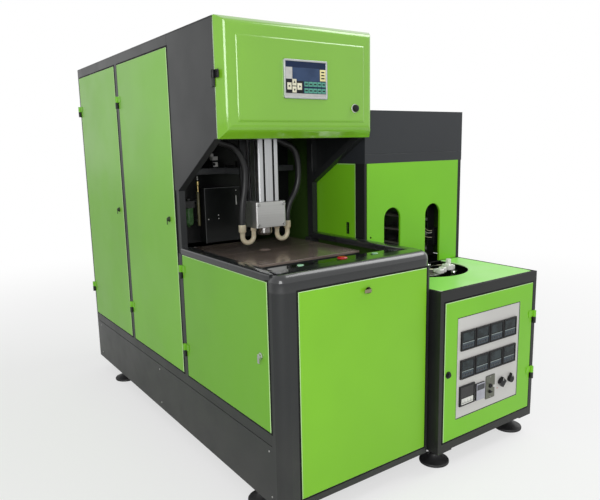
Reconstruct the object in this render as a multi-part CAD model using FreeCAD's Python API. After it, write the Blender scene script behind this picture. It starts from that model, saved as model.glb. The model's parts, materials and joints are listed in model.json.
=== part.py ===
import FreeCAD, Part
import math
import os
from FreeCAD import Vector as V

# Semi-automatic blow moulding machine: a blower (long green cabinet with a low bed
# at its front and a control head over the bed) and the preform heater beside it.
# Working frame: X to the right along the front, Y from the front to the back, Z up,
# zero at the front left corner of the blower on the floor. Sizes in millimetres.

# ---------------------------------------------------------------- driving sizes
BLOWER_W = 750.0          # over the side skins
BLOWER_L = 2146.0         # front panel to back panel
BLOWER_H = 1862.0         # floor to roof
FOOT_H = 80.0             # floor to underside of both bases
SKIN = 3.0                # thickness of fixed sheet
SHEET = 2.0               # thickness of doors and covers
TUBE = 50.0               # depth of the square tube in the side frames, drawn closed
MID_X = BLOWER_W / 2      # blowing axis, also the plane of symmetry
ROUND = 12                # flats round a small turned piece

SILL_Z = (319.0, 369.0)   # rail under the three side doors
RIM_Z = (931.0, 958.0)    # side rims of the bed
NOSE_Z = (895.0, 960.0)   # rounded front rim of the bed
NOSE_DEPTH = 85.0
NOSE_R = 32.0             # rounded top front edge
CORNER_R = 42.0           # plan radius of the bed's front corners

COLUMN_Y = (770.0, 812.0) # column that carries the head
COLUMN_X = (3.0, 31.0)
HEAD_FRONT = 392.0
HEAD_BOTTOM = 1420.0
BRACE_FOOT = (768.0, 1208.0)  # y, z where the sloping edge of the head meets the column
DOOR_GAP = 2.0
DOOR_PROUD = 3.0
DOOR_DEPTH = 20.0
BED_DOOR = ((66.0, 765.0), (369.0, 931.0))       # y span, z span
MIDDLE_DOOR = ((812.0, 1445.0), (369.0, 1811.0))
REAR_DOOR = ((1490.0, 2124.0), (369.0, 1811.0))
TOP_RAIL_Z = (1812.0, 1859.0)
FRONT_PANEL = ((80.0, 720.0), (111.0, 895.0))    # x span, z span

HINGE_R = 8.0
HINGE_PIN_R = 4.9
HINGE_BORE_R = 5.0
HINGE_HALF = 30.0         # height of each half barrel
HINGE_OFFSET = 10.0       # axis beyond the door's edge
SIDE_AXIS_X = -8.5        # axis of the side doors, outside the posts

AXIS_Y = 680.0            # blowing axis behind the front panel
DECK_Z = (908.0, 918.0)
PLATEN_Z = (320.0, 908.0)
PLATEN_X = (60.0, 690.0)
PLATEN_T = 45.0
MOULD_T = 255.0           # thickness of each mould half
MOULD_X = (180.0, 570.0)
MOULD_Z = (430.0, 905.0)
MOULD_GAP = 0.5
BOTTLE_R = 105.0
BOTTLE_Z = (505.0, 870.0)
NECK_R = 24.0
CLAMP_STROKE = 180.0
TIE_BAR_R = 20.0
TIE_NUT_R = 32.0
TIE_BAR_X = (115.0, 635.0)
TIE_BAR_Z = (400.0, 850.0)
CROSSHEAD_Y = (1850.0, 1900.0)
CLAMP_BARREL_Y = (1380.0, 1850.0)
CLAMP_Z = 625.0
RAIL_X = (160.0, 590.0)

HEATER_X = (753.0, 1410.0)
HEATER_FRONT = -48.0
TOWER_Y = (413.0, 1763.0)
TOWER_POST = 67.0         # depth of the tower's front posts, with the skin
TABLE_Z = 792.0
HEADER_Z = (1302.0, 1540.0)
HEATER_POST = 27.0
LOOP_X = 1065.0           # middle between the two preform lanes
LOOP_Y = (332.0, 1540.0)  # centres of the two turning wheels
LOOP_R = 139.0            # half the distance between the lanes
ARCH_W = 110.0
ARCH_TOP = 1093.0
HEATER_DOOR = ((780.0, 1383.0), (126.0, 743.0))
WINDOW = ((857.0, 1288.0), (212.0, 666.0))

# ---------------------------------------------------------------- origin
# The part's own origin is the middle of its footprint, on the floor.
HINGE_REACH = SIDE_AXIS_X - HINGE_R
TOGGLE_REACH = HEATER_FRONT - 29.0
ORIGIN = V((HEATER_X[1] + HINGE_REACH) / 2, (BLOWER_L + TOGGLE_REACH) / 2, 0)

NODES = {}


def save(name, *solids):
    """Keeps the solids of one node, and writes them in the part's own frame."""
    flat = []
    for s in solids:
        flat += list(s) if isinstance(s, (list, tuple)) else [s]
    shape = flat[0].copy() if len(flat) == 1 else Part.makeCompound([s.copy() for s in flat])
    shape.translate(ORIGIN * -1)
    NODES[name] = shape
    shape.exportStep(os.path.join("parts", name + ".step"))


def block(x, y, z):
    """A box between two values on each axis."""
    return Part.makeBox(x[1] - x[0], y[1] - y[0], z[1] - z[0], V(x[0], y[0], z[0]))


def turned(points, place, axis=(0, 0, 1), sides=ROUND):
    """A turned piece: radius and distance pairs along an axis, with flats for its round."""
    along = V(*axis).normalize()
    across = V(0, 1, 0) if abs(along.x) > 0.9 else V(1, 0, 0)
    across = (across - along * across.dot(along)).normalize()
    third = along.cross(across)
    base = V(*place)

    def corner(radius, distance, k):
        angle = 2 * math.pi * (k + 0.5) / sides
        return base + along * distance + (across * math.cos(angle) + third * math.sin(angle)) * radius

    faces = []
    for (r0, d0), (r1, d1) in zip(points, points[1:] + points[:1]):
        for k in range(sides if r0 + r1 > 0 else 0):
            ring = [corner(r0, d0, k), corner(r0, d0, k + 1)] if r0 > 0 else [corner(0, d0, 0)]
            ring += [corner(r1, d1, k + 1), corner(r1, d1, k)] if r1 > 0 else [corner(0, d1, 0)]
            faces.append(Part.Face(Part.makePolygon(ring + ring[:1])))
    solid = Part.Solid(Part.makeShell(faces)).removeSplitter()
    if solid.Volume < 0:
        solid.reverse()
    return solid


def bar(start, end, radius, sides=ROUND):
    """A bar from one point to another, with flats for its round."""
    run = V(*end) - V(*start)
    return turned([(0, 0), (radius, 0), (radius, run.Length), (0, run.Length)], start, tuple(run), sides)


def cylinder(start, end, radius):
    """A truly round bar from one point to another."""
    run = V(*end) - V(*start)
    return Part.makeCylinder(radius, run.Length, V(*start), run)


def hole(start, end, radius, sides=ROUND):
    """A cutter that leaves room for a round bar of this radius."""
    return bar(start, end, radius / math.cos(math.pi / sides), sides)


def mirrored(shape):
    """The same piece on the other side of the blower."""
    return shape.mirror(V(MID_X, 0, 0), V(1, 0, 0))


def both(shapes):
    """Pieces of the left side with their mirror images."""
    return list(shapes) + [mirrored(s) for s in shapes]


def prism(points, axis, low, high):
    """A polygon drawn on the two other axes, carried along X, Y or Z."""
    place = {
        "x": lambda p: V(low, p[0], p[1]),
        "y": lambda p: V(p[0], low, p[1]),
        "z": lambda p: V(p[0], p[1], low),
    }[axis]
    along = {"x": V(high - low, 0, 0), "y": V(0, high - low, 0), "z": V(0, 0, high - low)}[axis]
    wire = Part.makePolygon([place(p) for p in points] + [place(points[0])])
    return Part.Face(wire).extrude(along)


def arc(centre, radius, start, end, steps=4):
    """Points on a round corner, from one angle to another in degrees."""
    angles = [math.radians(start + (end - start) * i / steps) for i in range(steps + 1)]
    return [(centre[0] + radius * math.cos(a), centre[1] + radius * math.sin(a)) for a in angles]


def bevel_edges(shape, size, keep):
    """Bevels the edges whose middle satisfies a test."""
    return shape.makeChamfer(size, [e for e in shape.Edges if keep(e)])


# ---------------------------------------------------------------- feet
FOOT_PLACES = [
    (60.0, 235.0), (690.0, 235.0), (60.0, 1840.0), (690.0, 1840.0),
    (818.0, 30.0), (1345.0, 30.0), (818.0, 1680.0), (1345.0, 1680.0),
]
PAD_R = 65.0
STUD_R = 8.0
NUT_R = 15.0


def foot_pad(place):
    """A bell-shaped rubber pad with a socket for the stud's ball."""
    outline = [(0, 0), (PAD_R, 0), (PAD_R, 8), (34, 26), (24, 40), (0, 40)]
    return turned(outline, place, sides=8)


def foot_stud(place):
    """The threaded stud with its lock nut below the base."""
    outline = [(0, 40), (STUD_R, 40), (STUD_R, FOOT_H - 14), (NUT_R, FOOT_H - 14), (NUT_R, FOOT_H), (0, FOOT_H)]
    return turned(outline, place, sides=6)


# ---------------------------------------------------------------- blower frames
BASE_RAIL_Z = (FOOT_H, 130.0)
CROSS_Z = (210.0, 250.0)
CROSS_Y = (100.0, 770.0, 1448.0, 1990.0)
POST_BED = (765.0, 812.0)
POST_MID = (1445.0, 1490.0)
POST_REAR = (2124.0, 2146.0)
PANEL_POST = (1003.0, 1033.0)


def bed_frame():
    """Base rails, sills, cross tubes and the short posts of the bed."""
    side = [
        block((3, 103), (66, 2100), (FOOT_H, 86)),
        block((3, TUBE), (66, 2100), (86, BASE_RAIL_Z[1])),
        block((0, TUBE), (66, 2124), SILL_Z),
        block((14, 54), (24, 64), (FOOT_H, NOSE_Z[0])),
        block((0, TUBE), POST_BED, (SILL_Z[1], RIM_Z[0])),
    ]
    side += [block((SKIN, TUBE), (y, y + 40), (BASE_RAIL_Z[1], SILL_Z[0])) for y in CROSS_Y]
    across = [
        block((TUBE, BLOWER_W - TUBE), (y, y + 40), CROSS_Z) for y in CROSS_Y
    ]
    across += [
        block(FRONT_PANEL[0], (0, 22), (FOOT_H, 108)),
        block((54, BLOWER_W - 54), (38, 62), (855, NOSE_Z[0])),
        block((3, BLOWER_W - 3), (2103, 2143), (FOOT_H, BASE_RAIL_Z[1])),
    ]
    return both(side) + across


def hinge_lower(axis_x, axis_y, z, toward_post):
    """Lower half of a lift-off hinge: half barrel, its pin and the weld leaf."""
    barrel = bar((axis_x, axis_y, z - HINGE_HALF), (axis_x, axis_y, z - 0.5), HINGE_R, 8)
    pin = bar((axis_x, axis_y, z - 1), (axis_x, axis_y, z + HINGE_HALF - 4), HINGE_PIN_R, 8)
    leaf = block(*toward_post, (z - HINGE_HALF, z - 0.5))
    return barrel.fuse(pin).fuse(leaf).removeSplitter()


def hinge_upper(axis_x, axis_y, z, toward_door):
    """Upper half of a lift-off hinge, bored for the pin, with its door leaf."""
    barrel = bar((axis_x, axis_y, z), (axis_x, axis_y, z + HINGE_HALF), HINGE_R, 8)
    leaf = block(*toward_door, (z, z + HINGE_HALF))
    bore = hole((axis_x, axis_y, z - 1), (axis_x, axis_y, z + HINGE_HALF - 3), HINGE_BORE_R, 8)
    return barrel.fuse(leaf).removeSplitter().cut(bore)


SIDE_HINGES = {
    "rear": (REAR_DOOR, (1616.0, 539.0)),
    "middle": (MIDDLE_DOOR, (1625.0, 548.0)),
    "bed": (BED_DOOR, (852.0, 492.0)),
}


def side_hinge_lowers():
    """Frame halves of the side doors' hinges, welded to the posts behind each door."""
    halves = []
    for door, heights in SIDE_HINGES.values():
        y = door[0][1] + HINGE_OFFSET
        for z in heights:
            halves.append(hinge_lower(SIDE_AXIS_X, y, z, ((-5, 0), (y - 2, y + 12))))
    return halves


STRIKER_X = (25.0, 28.0)
SIDE_LOCKS = {
    "rear": (1552.0, 1070.0, REAR_DOOR[0][0]),
    "middle": (875.0, 1077.0, MIDDLE_DOOR[0][0]),
    "bed": (117.0, 650.0, BED_DOOR[0][0]),
}


def strikers():
    """Lips on the posts that the side doors' lock cams turn behind."""
    lips = []
    for y, z, edge in SIDE_LOCKS.values():
        start = edge - 2 if edge == BED_DOOR[0][0] else edge
        lips.append(block(STRIKER_X, (start, edge + 18), (z - 25, z + 25)))
    return lips


def brace_z(y):
    """Height of the head's sloping lower edge at a depth."""
    slope = (BRACE_FOOT[1] - HEAD_BOTTOM) / (BRACE_FOOT[0] - 410.0)
    return HEAD_BOTTOM + slope * (y - 410.0)


def cabinet_frame():
    """Columns, posts, top rails and the braces under the head, with the hinge halves."""
    brace = [(410, HEAD_BOTTOM), (COLUMN_Y[0], brace_z(COLUMN_Y[0])),
             (COLUMN_Y[0], brace_z(COLUMN_Y[0]) + 35), (468.5, HEAD_BOTTOM)]
    side = [
        block(COLUMN_X, COLUMN_Y, (RIM_Z[0], TOP_RAIL_Z[1])),
        block((0, TUBE), POST_MID, (SILL_Z[1], TOP_RAIL_Z[0])),
        block((0, TUBE), POST_REAR, (SILL_Z[0], TOP_RAIL_Z[0])),
        block((20, TUBE), PANEL_POST, (SILL_Z[1], TOP_RAIL_Z[0])),
        block((0, TUBE), (COLUMN_Y[1], 2146), TOP_RAIL_Z),
        prism(brace, "x", *COLUMN_X),
    ]
    across = [
        block((TUBE + 3, BLOWER_W - TUBE - 3), (HEAD_FRONT + 3, HEAD_FRONT + 43), TOP_RAIL_Z),
        block((COLUMN_X[1], BLOWER_W - COLUMN_X[1]), COLUMN_Y, TOP_RAIL_Z),
        block((TUBE, BLOWER_W - TUBE), POST_MID, TOP_RAIL_Z),
        block((TUBE, BLOWER_W - TUBE), (2106, 2143), TOP_RAIL_Z),
        block((TUBE, BLOWER_W - TUBE), (2106, 2143), SILL_Z),
    ]
    return both(side) + across + side_hinge_lowers() + strikers()


# ---------------------------------------------------------------- blower skins
def corner_column(width, radius):
    """Folded sheet round a front corner of the bed: one profile with a lip on each end."""
    depth, inner = 66.0, radius - SKIN
    profile = [(width, 18), (width, 0)] + arc((radius, radius), radius, 270, 180)
    profile += [(0, depth), (14, depth), (14, depth - SKIN), (SKIN, depth - SKIN)]
    profile += arc((radius, radius), inner, 180, 270) + [(width - SKIN, SKIN), (width - SKIN, 18)]
    column = prism(profile, "z", FOOT_H, NOSE_Z[0])
    return column.cut(bar((width - SKIN - 1, PIVOT_Y, PIVOT_Z), (width + 1, PIVOT_Y, PIVOT_Z), PIVOT_R, 8))


def bed_skins():
    """The two corner columns, the skirts below the sills and the back skirt."""
    skirt = block((0, SKIN), (66, POST_REAR[1] - SKIN), (FOOT_H, SILL_Z[0] - 2))
    back = block((0, BLOWER_W), (POST_REAR[1] - SKIN, POST_REAR[1]), (FOOT_H, SILL_Z[0] - 2))
    left = corner_column(FRONT_PANEL[0][0], CORNER_R)
    right = mirrored(corner_column(BLOWER_W - FRONT_PANEL[0][1], 22.0))
    return [left, right, back] + both([skirt])


def rim_outline(inset, z):
    """The front rim's outline at a height: straight back edge, round front corners."""
    r = CORNER_R - inset
    points = arc((CORNER_R, CORNER_R), r, 180, 270) + arc((BLOWER_W - CORNER_R, CORNER_R), r, 270, 360)
    points += [(BLOWER_W - inset, NOSE_DEPTH), (inset, NOSE_DEPTH)]
    return Part.makePolygon([V(x, y, z) for x, y in points + points[:1]])


def front_rim():
    """Hollow nose along the bed's front: outlines that draw in over its round top edge."""
    shoulder = NOSE_Z[1] - NOSE_R
    outer = [rim_outline(0, NOSE_Z[0])]
    outer += [rim_outline(NOSE_R - x, shoulder + z) for x, z in arc((0, 0), NOSE_R, 0, 80)]
    outer.append(rim_outline(NOSE_R, NOSE_Z[1]))
    inner = [rim_outline(SKIN, NOSE_Z[0] - 1), rim_outline(SKIN, shoulder),
             rim_outline(NOSE_R, NOSE_Z[1] - SKIN - 2)]
    shell = Part.makeLoft(outer, True, True).cut(Part.makeLoft(inner, True, True))
    notch = block((-1, DOOR_DEPTH), (BED_DOOR[0][0] - 0.5, NOSE_DEPTH + 1), (NOSE_Z[0] - 1, RIM_Z[0]))
    return shell.cut(notch).cut(mirrored(notch))


def side_rim():
    """Flat box rim along the side of the bed, from the front rim to the column."""
    body = block((-SKIN, 47), (NOSE_DEPTH, COLUMN_Y[0]), RIM_Z)
    return bevel_edges(body, 6, lambda e: abs(e.CenterOfMass.z - RIM_Z[1]) < 0.1
                       and abs(e.CenterOfMass.x + SKIN) < 0.1)


def button_shelf():
    """Glossy shelf behind the front rim, with round back corners and turned-down edges."""
    left, right, back, top, corner = 50.5, BLOWER_W - 50.5, 185.0, SHELF_TOP, 40.0
    outline = [(left, NOSE_DEPTH), (right, NOSE_DEPTH)] + arc((right - corner, back - corner), corner, 0, 90)
    outline += arc((left + corner, back - corner), corner, 90, 180)
    plate = prism(outline, "z", top - 25, top)
    core = block((left + SKIN, right - SKIN), (NOSE_DEPTH - 1, back - SKIN), (top - 26, top - SKIN))
    core = bevel_edges(core, 24, lambda e: e.BoundBox.ZLength > 20 and e.CenterOfMass.y > back - 2 * SKIN)
    plate = plate.cut(core)
    for x in (STOP_X,) + START_X:
        plate = plate.cut(hole((x, BUTTON_Y, top - 30), (x, BUTTON_Y, top + 1), PLUNGER_R + 0.5, 8))
    return plate


STOP_X = 390.0
START_X = (190.0, 560.0)
BUTTON_Y = 135.0
PLUNGER_R = 10.5
SHELF_TOP = 948.0


def push_button(x, cap_r, cap_h, dome, sides):
    """A push button: cap over the shelf and a plunger through it."""
    top = SHELF_TOP + 4 + cap_h
    outline = [(0, SHELF_TOP - 34), (PLUNGER_R, SHELF_TOP - 34), (PLUNGER_R, top - cap_h), (cap_r, top - cap_h),
               (cap_r, top - dome), (cap_r - dome, top), (0, top)]
    return turned(outline, (x, BUTTON_Y), sides=sides)


def head_shell():
    """Side plates with the sloping edge, and the floor of the head."""
    plate = prism([(HEAD_FRONT, TOP_RAIL_Z[1]), (HEAD_FRONT, HEAD_BOTTOM), (410, HEAD_BOTTOM), BRACE_FOOT,
                   (COLUMN_Y[1], BRACE_FOOT[1]), (COLUMN_Y[1], TOP_RAIL_Z[1])], "x", 0, SKIN)
    flange = block((SKIN, 30), (HEAD_FRONT, HEAD_FRONT + SKIN), (HEAD_BOTTOM, TOP_RAIL_Z[1]))
    side = plate.fuse(flange).removeSplitter()
    floor = block((COLUMN_X[1], BLOWER_W - COLUMN_X[1]), (HEAD_FRONT, 997), (HEAD_BOTTOM, HEAD_BOTTOM + SKIN))
    floor = floor.cut(block((MID_X - 54, MID_X + 54), (AXIS_Y - 54, AXIS_Y + 54), (1410, 1430)))
    for x, y, z in (HOSE_LEFT[-1], HOSE_RIGHT[-1]):
        floor = floor.cut(block((x - 24, x + 62), (y - 34, y + 24), (1410, 1430)))
    return both([side]) + [floor]


def roof():
    """One flat sheet over the head and the cabinet, lipped over the back."""
    return block((0, BLOWER_W), (HEAD_FRONT, BLOWER_L), (TOP_RAIL_Z[1], BLOWER_H))


def louvres(panel, x, y, z_low, count, pitch):
    """Cuts a row of horizontal ventilation slots."""
    for i in range(count):
        z = z_low + pitch * i
        panel = panel.cut(block(x, y, (z, z + 6)))
    return panel


def fixed_panels():
    """Screwed-on green panels of the right side and the back."""
    x = (BLOWER_W - SKIN, BLOWER_W)
    inset = DOOR_GAP
    panels = []
    for (y, z) in (BED_DOOR, MIDDLE_DOOR, REAR_DOOR):
        panels.append(block(x, (y[0] + inset, y[1] - inset), (z[0] + inset, z[1] - inset)))
    back = block((TUBE + 2, BLOWER_W - TUBE - 2), (BLOWER_L - SKIN, BLOWER_L),
                 (SILL_Z[1] + 2, TOP_RAIL_Z[0] - 2))
    back = louvres(back, (150, 350), (BLOWER_L - 5, BLOWER_L + 1), 1450, 6, 24)
    back = louvres(back, (400, 600), (BLOWER_L - 5, BLOWER_L + 1), 1450, 6, 24)
    return panels + [back]


# ---------------------------------------------------------------- doors and locks
def side_door(name):
    """A folded tray hung on two lift-off hinges, with the lock hole."""
    (y, z), heights = SIDE_HINGES[name]
    ys = (y[0] + DOOR_GAP, y[1] - DOOR_GAP)
    zs = (z[0] + DOOR_GAP, z[1] - DOOR_GAP)
    tray = block((-DOOR_PROUD, DOOR_DEPTH - DOOR_PROUD), ys, zs)
    tray = bevel_edges(tray, 2, lambda e: abs(e.CenterOfMass.x + DOOR_PROUD) < 0.1)
    tray = tray.cut(block((SHEET - DOOR_PROUD, DOOR_DEPTH), (ys[0] + SHEET, ys[1] - SHEET),
                          (zs[0] + SHEET, zs[1] - SHEET)))
    lock_y, lock_z, _ = SIDE_LOCKS[name]
    tray = tray.cut(hole((-10, lock_y, lock_z), (10, lock_y, lock_z), LOCK_HOLE_R))
    axis_y = y[1] + HINGE_OFFSET
    leaves = [hinge_upper(SIDE_AXIS_X, axis_y, h, ((-6, -DOOR_PROUD), (axis_y - 38, axis_y))) for h in heights]
    return [tray] + leaves


LOCK_R = 9.5
LOCK_HOLE_R = 9.8


def cam_lock(centre, inward, cam_length, cam_toward, flange_r, flap_toward, depth):
    """A turning lock in two solids: the flanged barrel with its outer key flap, and the cam screwed on its end."""
    inward = V(*inward)
    centre = V(*centre)
    outline = [(0, -11), (LOCK_R, -11), (LOCK_R, -4), (flange_r, -4), (flange_r, 0), (LOCK_R, 0), (LOCK_R, depth - 3),
               (0, depth - 3)]

    def plate(toward, length, half, near, far):
        side = inward.cross(toward)
        corners = [centre + side * half + toward * -half, centre + side * half + toward * length,
                   centre - side * half + toward * length, centre - side * half + toward * -half]
        wire = Part.makePolygon([c + inward * near for c in corners + corners[:1]])
        return Part.Face(wire).extrude(inward * (far - near))

    barrel = turned(outline, centre, inward, 8)
    if flap_toward:
        barrel = barrel.fuse(plate(V(*flap_toward), 26, 6.5, -13, -10)).removeSplitter()
    return [barrel, plate(V(*cam_toward), cam_length, 8, depth - 3, depth)]


def side_lock(name):
    """Lock of a side door; the cam stands up, clear of the striker."""
    y, z, edge = SIDE_LOCKS[name]
    return cam_lock((-DOOR_PROUD, y, z), (1, 0, 0), y - edge - 9, (0, 0, 1), 13, (0, 0, -1), 35)


PIVOT_Y = 3.5
PIVOT_Z = 122.0
PIVOT_R = 3.4


def front_panel():
    """Lower front panel: a tray that tilts out on two pivots near its foot."""
    xs = (FRONT_PANEL[0][0] + DOOR_GAP, FRONT_PANEL[0][1] - DOOR_GAP)
    zs = (FRONT_PANEL[1][0] + DOOR_GAP, FRONT_PANEL[1][1] - DOOR_GAP)
    tray = block(xs, (-DOOR_PROUD, DOOR_DEPTH - DOOR_PROUD), zs)
    tray = bevel_edges(tray, 2, lambda e: abs(e.CenterOfMass.y + DOOR_PROUD) < 0.1)
    tray = tray.cut(block((xs[0] + SHEET, xs[1] - SHEET), (SHEET - DOOR_PROUD, DOOR_DEPTH),
                          (zs[0] + SHEET, zs[1] - SHEET)))
    tray = tray.cut(hole((xs[0] - 1, PIVOT_Y, PIVOT_Z), (xs[1] + 1, PIVOT_Y, PIVOT_Z), PIVOT_R + 0.1, 8))
    return tray.cut(hole((FRONT_LOCK[0], -10, FRONT_LOCK[1]), (FRONT_LOCK[0], 10, FRONT_LOCK[1]), LOCK_HOLE_R))


FRONT_LOCK = (400.0, 851.0)


def pivot_pins():
    """Pins in the corner columns that the front panel tilts on, and its striker."""
    left, right = FRONT_PANEL[0]
    pins = [bar((left - SKIN, PIVOT_Y, PIVOT_Z), (left + 10, PIVOT_Y, PIVOT_Z), PIVOT_R, 8),
            bar((right + SKIN, PIVOT_Y, PIVOT_Z), (right - 10, PIVOT_Y, PIVOT_Z), PIVOT_R, 8)]
    x = (FRONT_LOCK[0] - 25, FRONT_LOCK[0] + 25)
    return pins + [block(x, (24, 27), (868, 892)), block(x, (27, 38), (888, 892))]


# ---------------------------------------------------------------- head cover
COVER_DEPTH = 48.0
COVER_BACK = 390.0
COVER_TAPER = (26.0, 34.0, 20.0)   # sides, bottom, top
COVER_AXIS = (-8.5, 384.0)
COVER_HINGE_Z = 1640.0
KNOB = (630.0, 1540.0)


def cover_shape(inset, back, front):
    """Frustum of the cover between its rim and its face."""
    side, bottom, top = COVER_TAPER
    rim = [(inset, HEAD_BOTTOM + inset), (BLOWER_W - inset, HEAD_BOTTOM + inset),
           (BLOWER_W - inset, BLOWER_H - inset), (inset, BLOWER_H - inset)]
    face = [(side + inset, HEAD_BOTTOM + bottom + inset), (BLOWER_W - side - inset, HEAD_BOTTOM + bottom + inset),
            (BLOWER_W - side - inset, BLOWER_H - top - inset), (side + inset, BLOWER_H - top - inset)]

    def loop(points, y):
        return Part.makePolygon([V(x, y, z) for x, z in points + points[:1]])

    lip = COVER_BACK - 10
    skirt = block((inset, BLOWER_W - inset), (lip, back), (HEAD_BOTTOM + inset, BLOWER_H - inset))
    taper = Part.makeLoft([loop(rim, lip), loop(face, front)], True, True)
    return skirt.fuse(taper).removeSplitter()


def head_cover():
    """The tapered cover of the control head, with a raised field and cut-outs."""
    front = COVER_BACK - COVER_DEPTH
    leaf = hinge_upper(*COVER_AXIS, COVER_HINGE_Z, ((-4, -0.3), (352, COVER_AXIS[1])))
    outer = cover_shape(0, COVER_BACK, front)
    inner = cover_shape(SHEET, COVER_BACK + 1, front + SHEET)
    field = [(66, 1482), (684, 1482), (684, 1796), (66, 1796)]
    top = [(x + (6 if x < MID_X else -6), z + (6 if z < 1600 else -6)) for x, z in field]

    def loop(points, y):
        return Part.makePolygon([V(x, y, z) for x, z in points + points[:1]])

    raised = Part.makeLoft([loop(field, front + 1), loop(top, front - 4)], True, True)
    cover = outer.cut(inner).fuse(raised).removeSplitter()
    cover = cover.cut(hole((KNOB[0], front - 10, KNOB[1]), (KNOB[0], front + 10, KNOB[1]), LOCK_HOLE_R))
    return [cover, leaf]


def cover_pintle():
    """Fixed half of the cover's hinge, on the side plate."""
    return hinge_lower(*COVER_AXIS, COVER_HINGE_Z, ((-5, 0), (HEAD_FRONT - 8, HEAD_FRONT + 22)))


def cover_knob():
    """Round quarter-turn knob with its cam inside the cover."""
    front = COVER_BACK - COVER_DEPTH - 4
    outline = [(0, -14), (12.5, -14), (15, -11), (15, 0), (LOCK_R, 0), (LOCK_R, 16), (0, 16)]
    grip = turned(outline, (KNOB[0], front, KNOB[1]), (0, 1, 0))
    cam = block((KNOB[0] - 8, KNOB[0] + 8), (front + 12, front + 16), (KNOB[1] - 8, KNOB[1] + 40))
    return grip.fuse(cam).removeSplitter()


def operator_panel():
    """Framed operator panel on the cover."""
    front = COVER_BACK - COVER_DEPTH - 4
    body = block((270, 480), (front - 8, front), (1572, 1720))
    body = bevel_edges(body, 3, lambda e: e.BoundBox.YLength > 7 and e.BoundBox.XLength < 1)
    return body.cut(block((277, 473), (front - 9, front - 5.5), (1579, 1713)))


# ---------------------------------------------------------------- bay under the head
BEAM_Z = (1266.0, 1294.0)


def bay_structure():
    """Back panel of the bay, its beam, and the bracket of the blowing column."""
    panel = block((20, 730), (1000, 1003), (935, TOP_RAIL_Z[0]))
    beam = block((53, 697), (900, 930), BEAM_Z)
    ties = [block((x, x + 30), (930, 1000), BEAM_Z) for x in (60, 660)]
    arms = [block((x, x + 25), (747.5, 900), BEAM_Z) for x in (298, 427)]
    plate = block((290, 460), (732.5, 747.5), (1005, HEAD_BOTTOM))
    return [panel, beam, plate] + ties + arms


def valve_box():
    """Closed box of the blowing valves on the back panel, with a proud lid."""
    body = block((204, 417), (934, 1000), (938, 1198))
    lid = block((201, 420), (930, 934), (936, 1200))
    lid = bevel_edges(lid, 2, lambda e: abs(e.CenterOfMass.y - 930) < 0.1)
    return body.fuse(lid).removeSplitter()


def air_service_unit():
    """Air filter with its bowl, and the gauge stem beside it on two clips."""
    bracket = block((100, 195), (985, 1000), (1114, 1144))
    filter_head = block((100, 148), (925, 985), (1112, 1146))
    bowl = turned([(0, 1022), (15, 1022), (23, 1034), (23, 1112), (0, 1112)], (124, 948), sides=8)
    stem = turned([(0, 1022), (7, 1022), (7, 1184), (0, 1184)], STEM, sides=8)
    stem_top = turned([(0, 1184), (5, 1184), (5, 1215), (8, 1215), (8, 1235), (3, 1242), (3, 1258), (0, 1258)],
                      STEM, sides=8)
    clips = [block((STEM[0] - 6, STEM[0] + 6), (STEM[1] + 7 * math.cos(math.pi / 8), back), (z, z + 12))
             for z, back in ((1123, 985), (1040, 1000))]
    return [bracket, filter_head, bowl, stem_top, stem] + clips


STEM = (177.0, 948.0)

COLUMN_HALF = 52.5
BARREL_BORE_R = 40.0
ROD_R = 8.0
BLOCK_HALF = (78.0, 65.0)
BLOCK_Z = (1030.0, 1146.0)
COLUMN_TOP = 1800.0
NOZZLE_R = 35.0
NOZZLE_Z = (990.0, 1125.0)
NOZZLE_TRAVEL = 65.0
ROD_TIP = 995.0
ROD_STROKE = 470.0


def blow_cylinder():
    """Extruded cylinder barrel of the stretch rod: grooved profile with end caps."""
    half = COLUMN_HALF
    body = block((MID_X - half, MID_X + half), (AXIS_Y - half, AXIS_Y + half), (BLOCK_Z[1], COLUMN_TOP))
    body = bevel_edges(body, 5, lambda e: e.BoundBox.ZLength > 100)
    for dx in (-24, 24):
        for dy in (-1, 1):
            body = body.cut(block((MID_X + dx - 5, MID_X + dx + 5),
                                  (AXIS_Y + dy * half - 6, AXIS_Y + dy * half + 6), (BLOCK_Z[1] - 1, COLUMN_TOP - 25)))
            body = body.cut(block((MID_X + dy * half - 6, MID_X + dy * half + 6),
                                  (AXIS_Y + dx - 5, AXIS_Y + dx + 5), (BLOCK_Z[1] - 1, COLUMN_TOP - 25)))
    body = body.cut(hole((MID_X, AXIS_Y, BLOCK_Z[1] + 14), (MID_X, AXIS_Y, COLUMN_TOP - 15), BARREL_BORE_R))
    return body.cut(hole((MID_X, AXIS_Y, BLOCK_Z[1] - 1), (MID_X, AXIS_Y, BLOCK_Z[1] + 15), ROD_R + 1))


def blow_block():
    """Air block under the cylinder, bored for the sealing sleeve and the rod."""
    hx, hy = BLOCK_HALF
    body = block((MID_X - hx, MID_X + hx), (AXIS_Y - hy, AXIS_Y + COLUMN_HALF), BLOCK_Z)
    body = bevel_edges(body, 4, lambda e: e.BoundBox.ZLength > 100)
    body = body.cut(hole((MID_X, AXIS_Y, BLOCK_Z[0] - 1), (MID_X, AXIS_Y, NOZZLE_Z[1] + 5), NOZZLE_R + 0.5))
    return body.cut(hole((MID_X, AXIS_Y, BLOCK_Z[0]), (MID_X, AXIS_Y, BLOCK_Z[1] + 1), ROD_R + 1))


def seal_nozzle():
    """Sleeve that comes down and seals on the preform's neck."""
    z0, z1 = NOZZLE_Z
    outline = [(ROD_R + 2, z0), (26, z0), (NOZZLE_R, z0 + 12), (NOZZLE_R, z1), (ROD_R + 2, z1)]
    return turned(outline, (MID_X, AXIS_Y))


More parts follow.
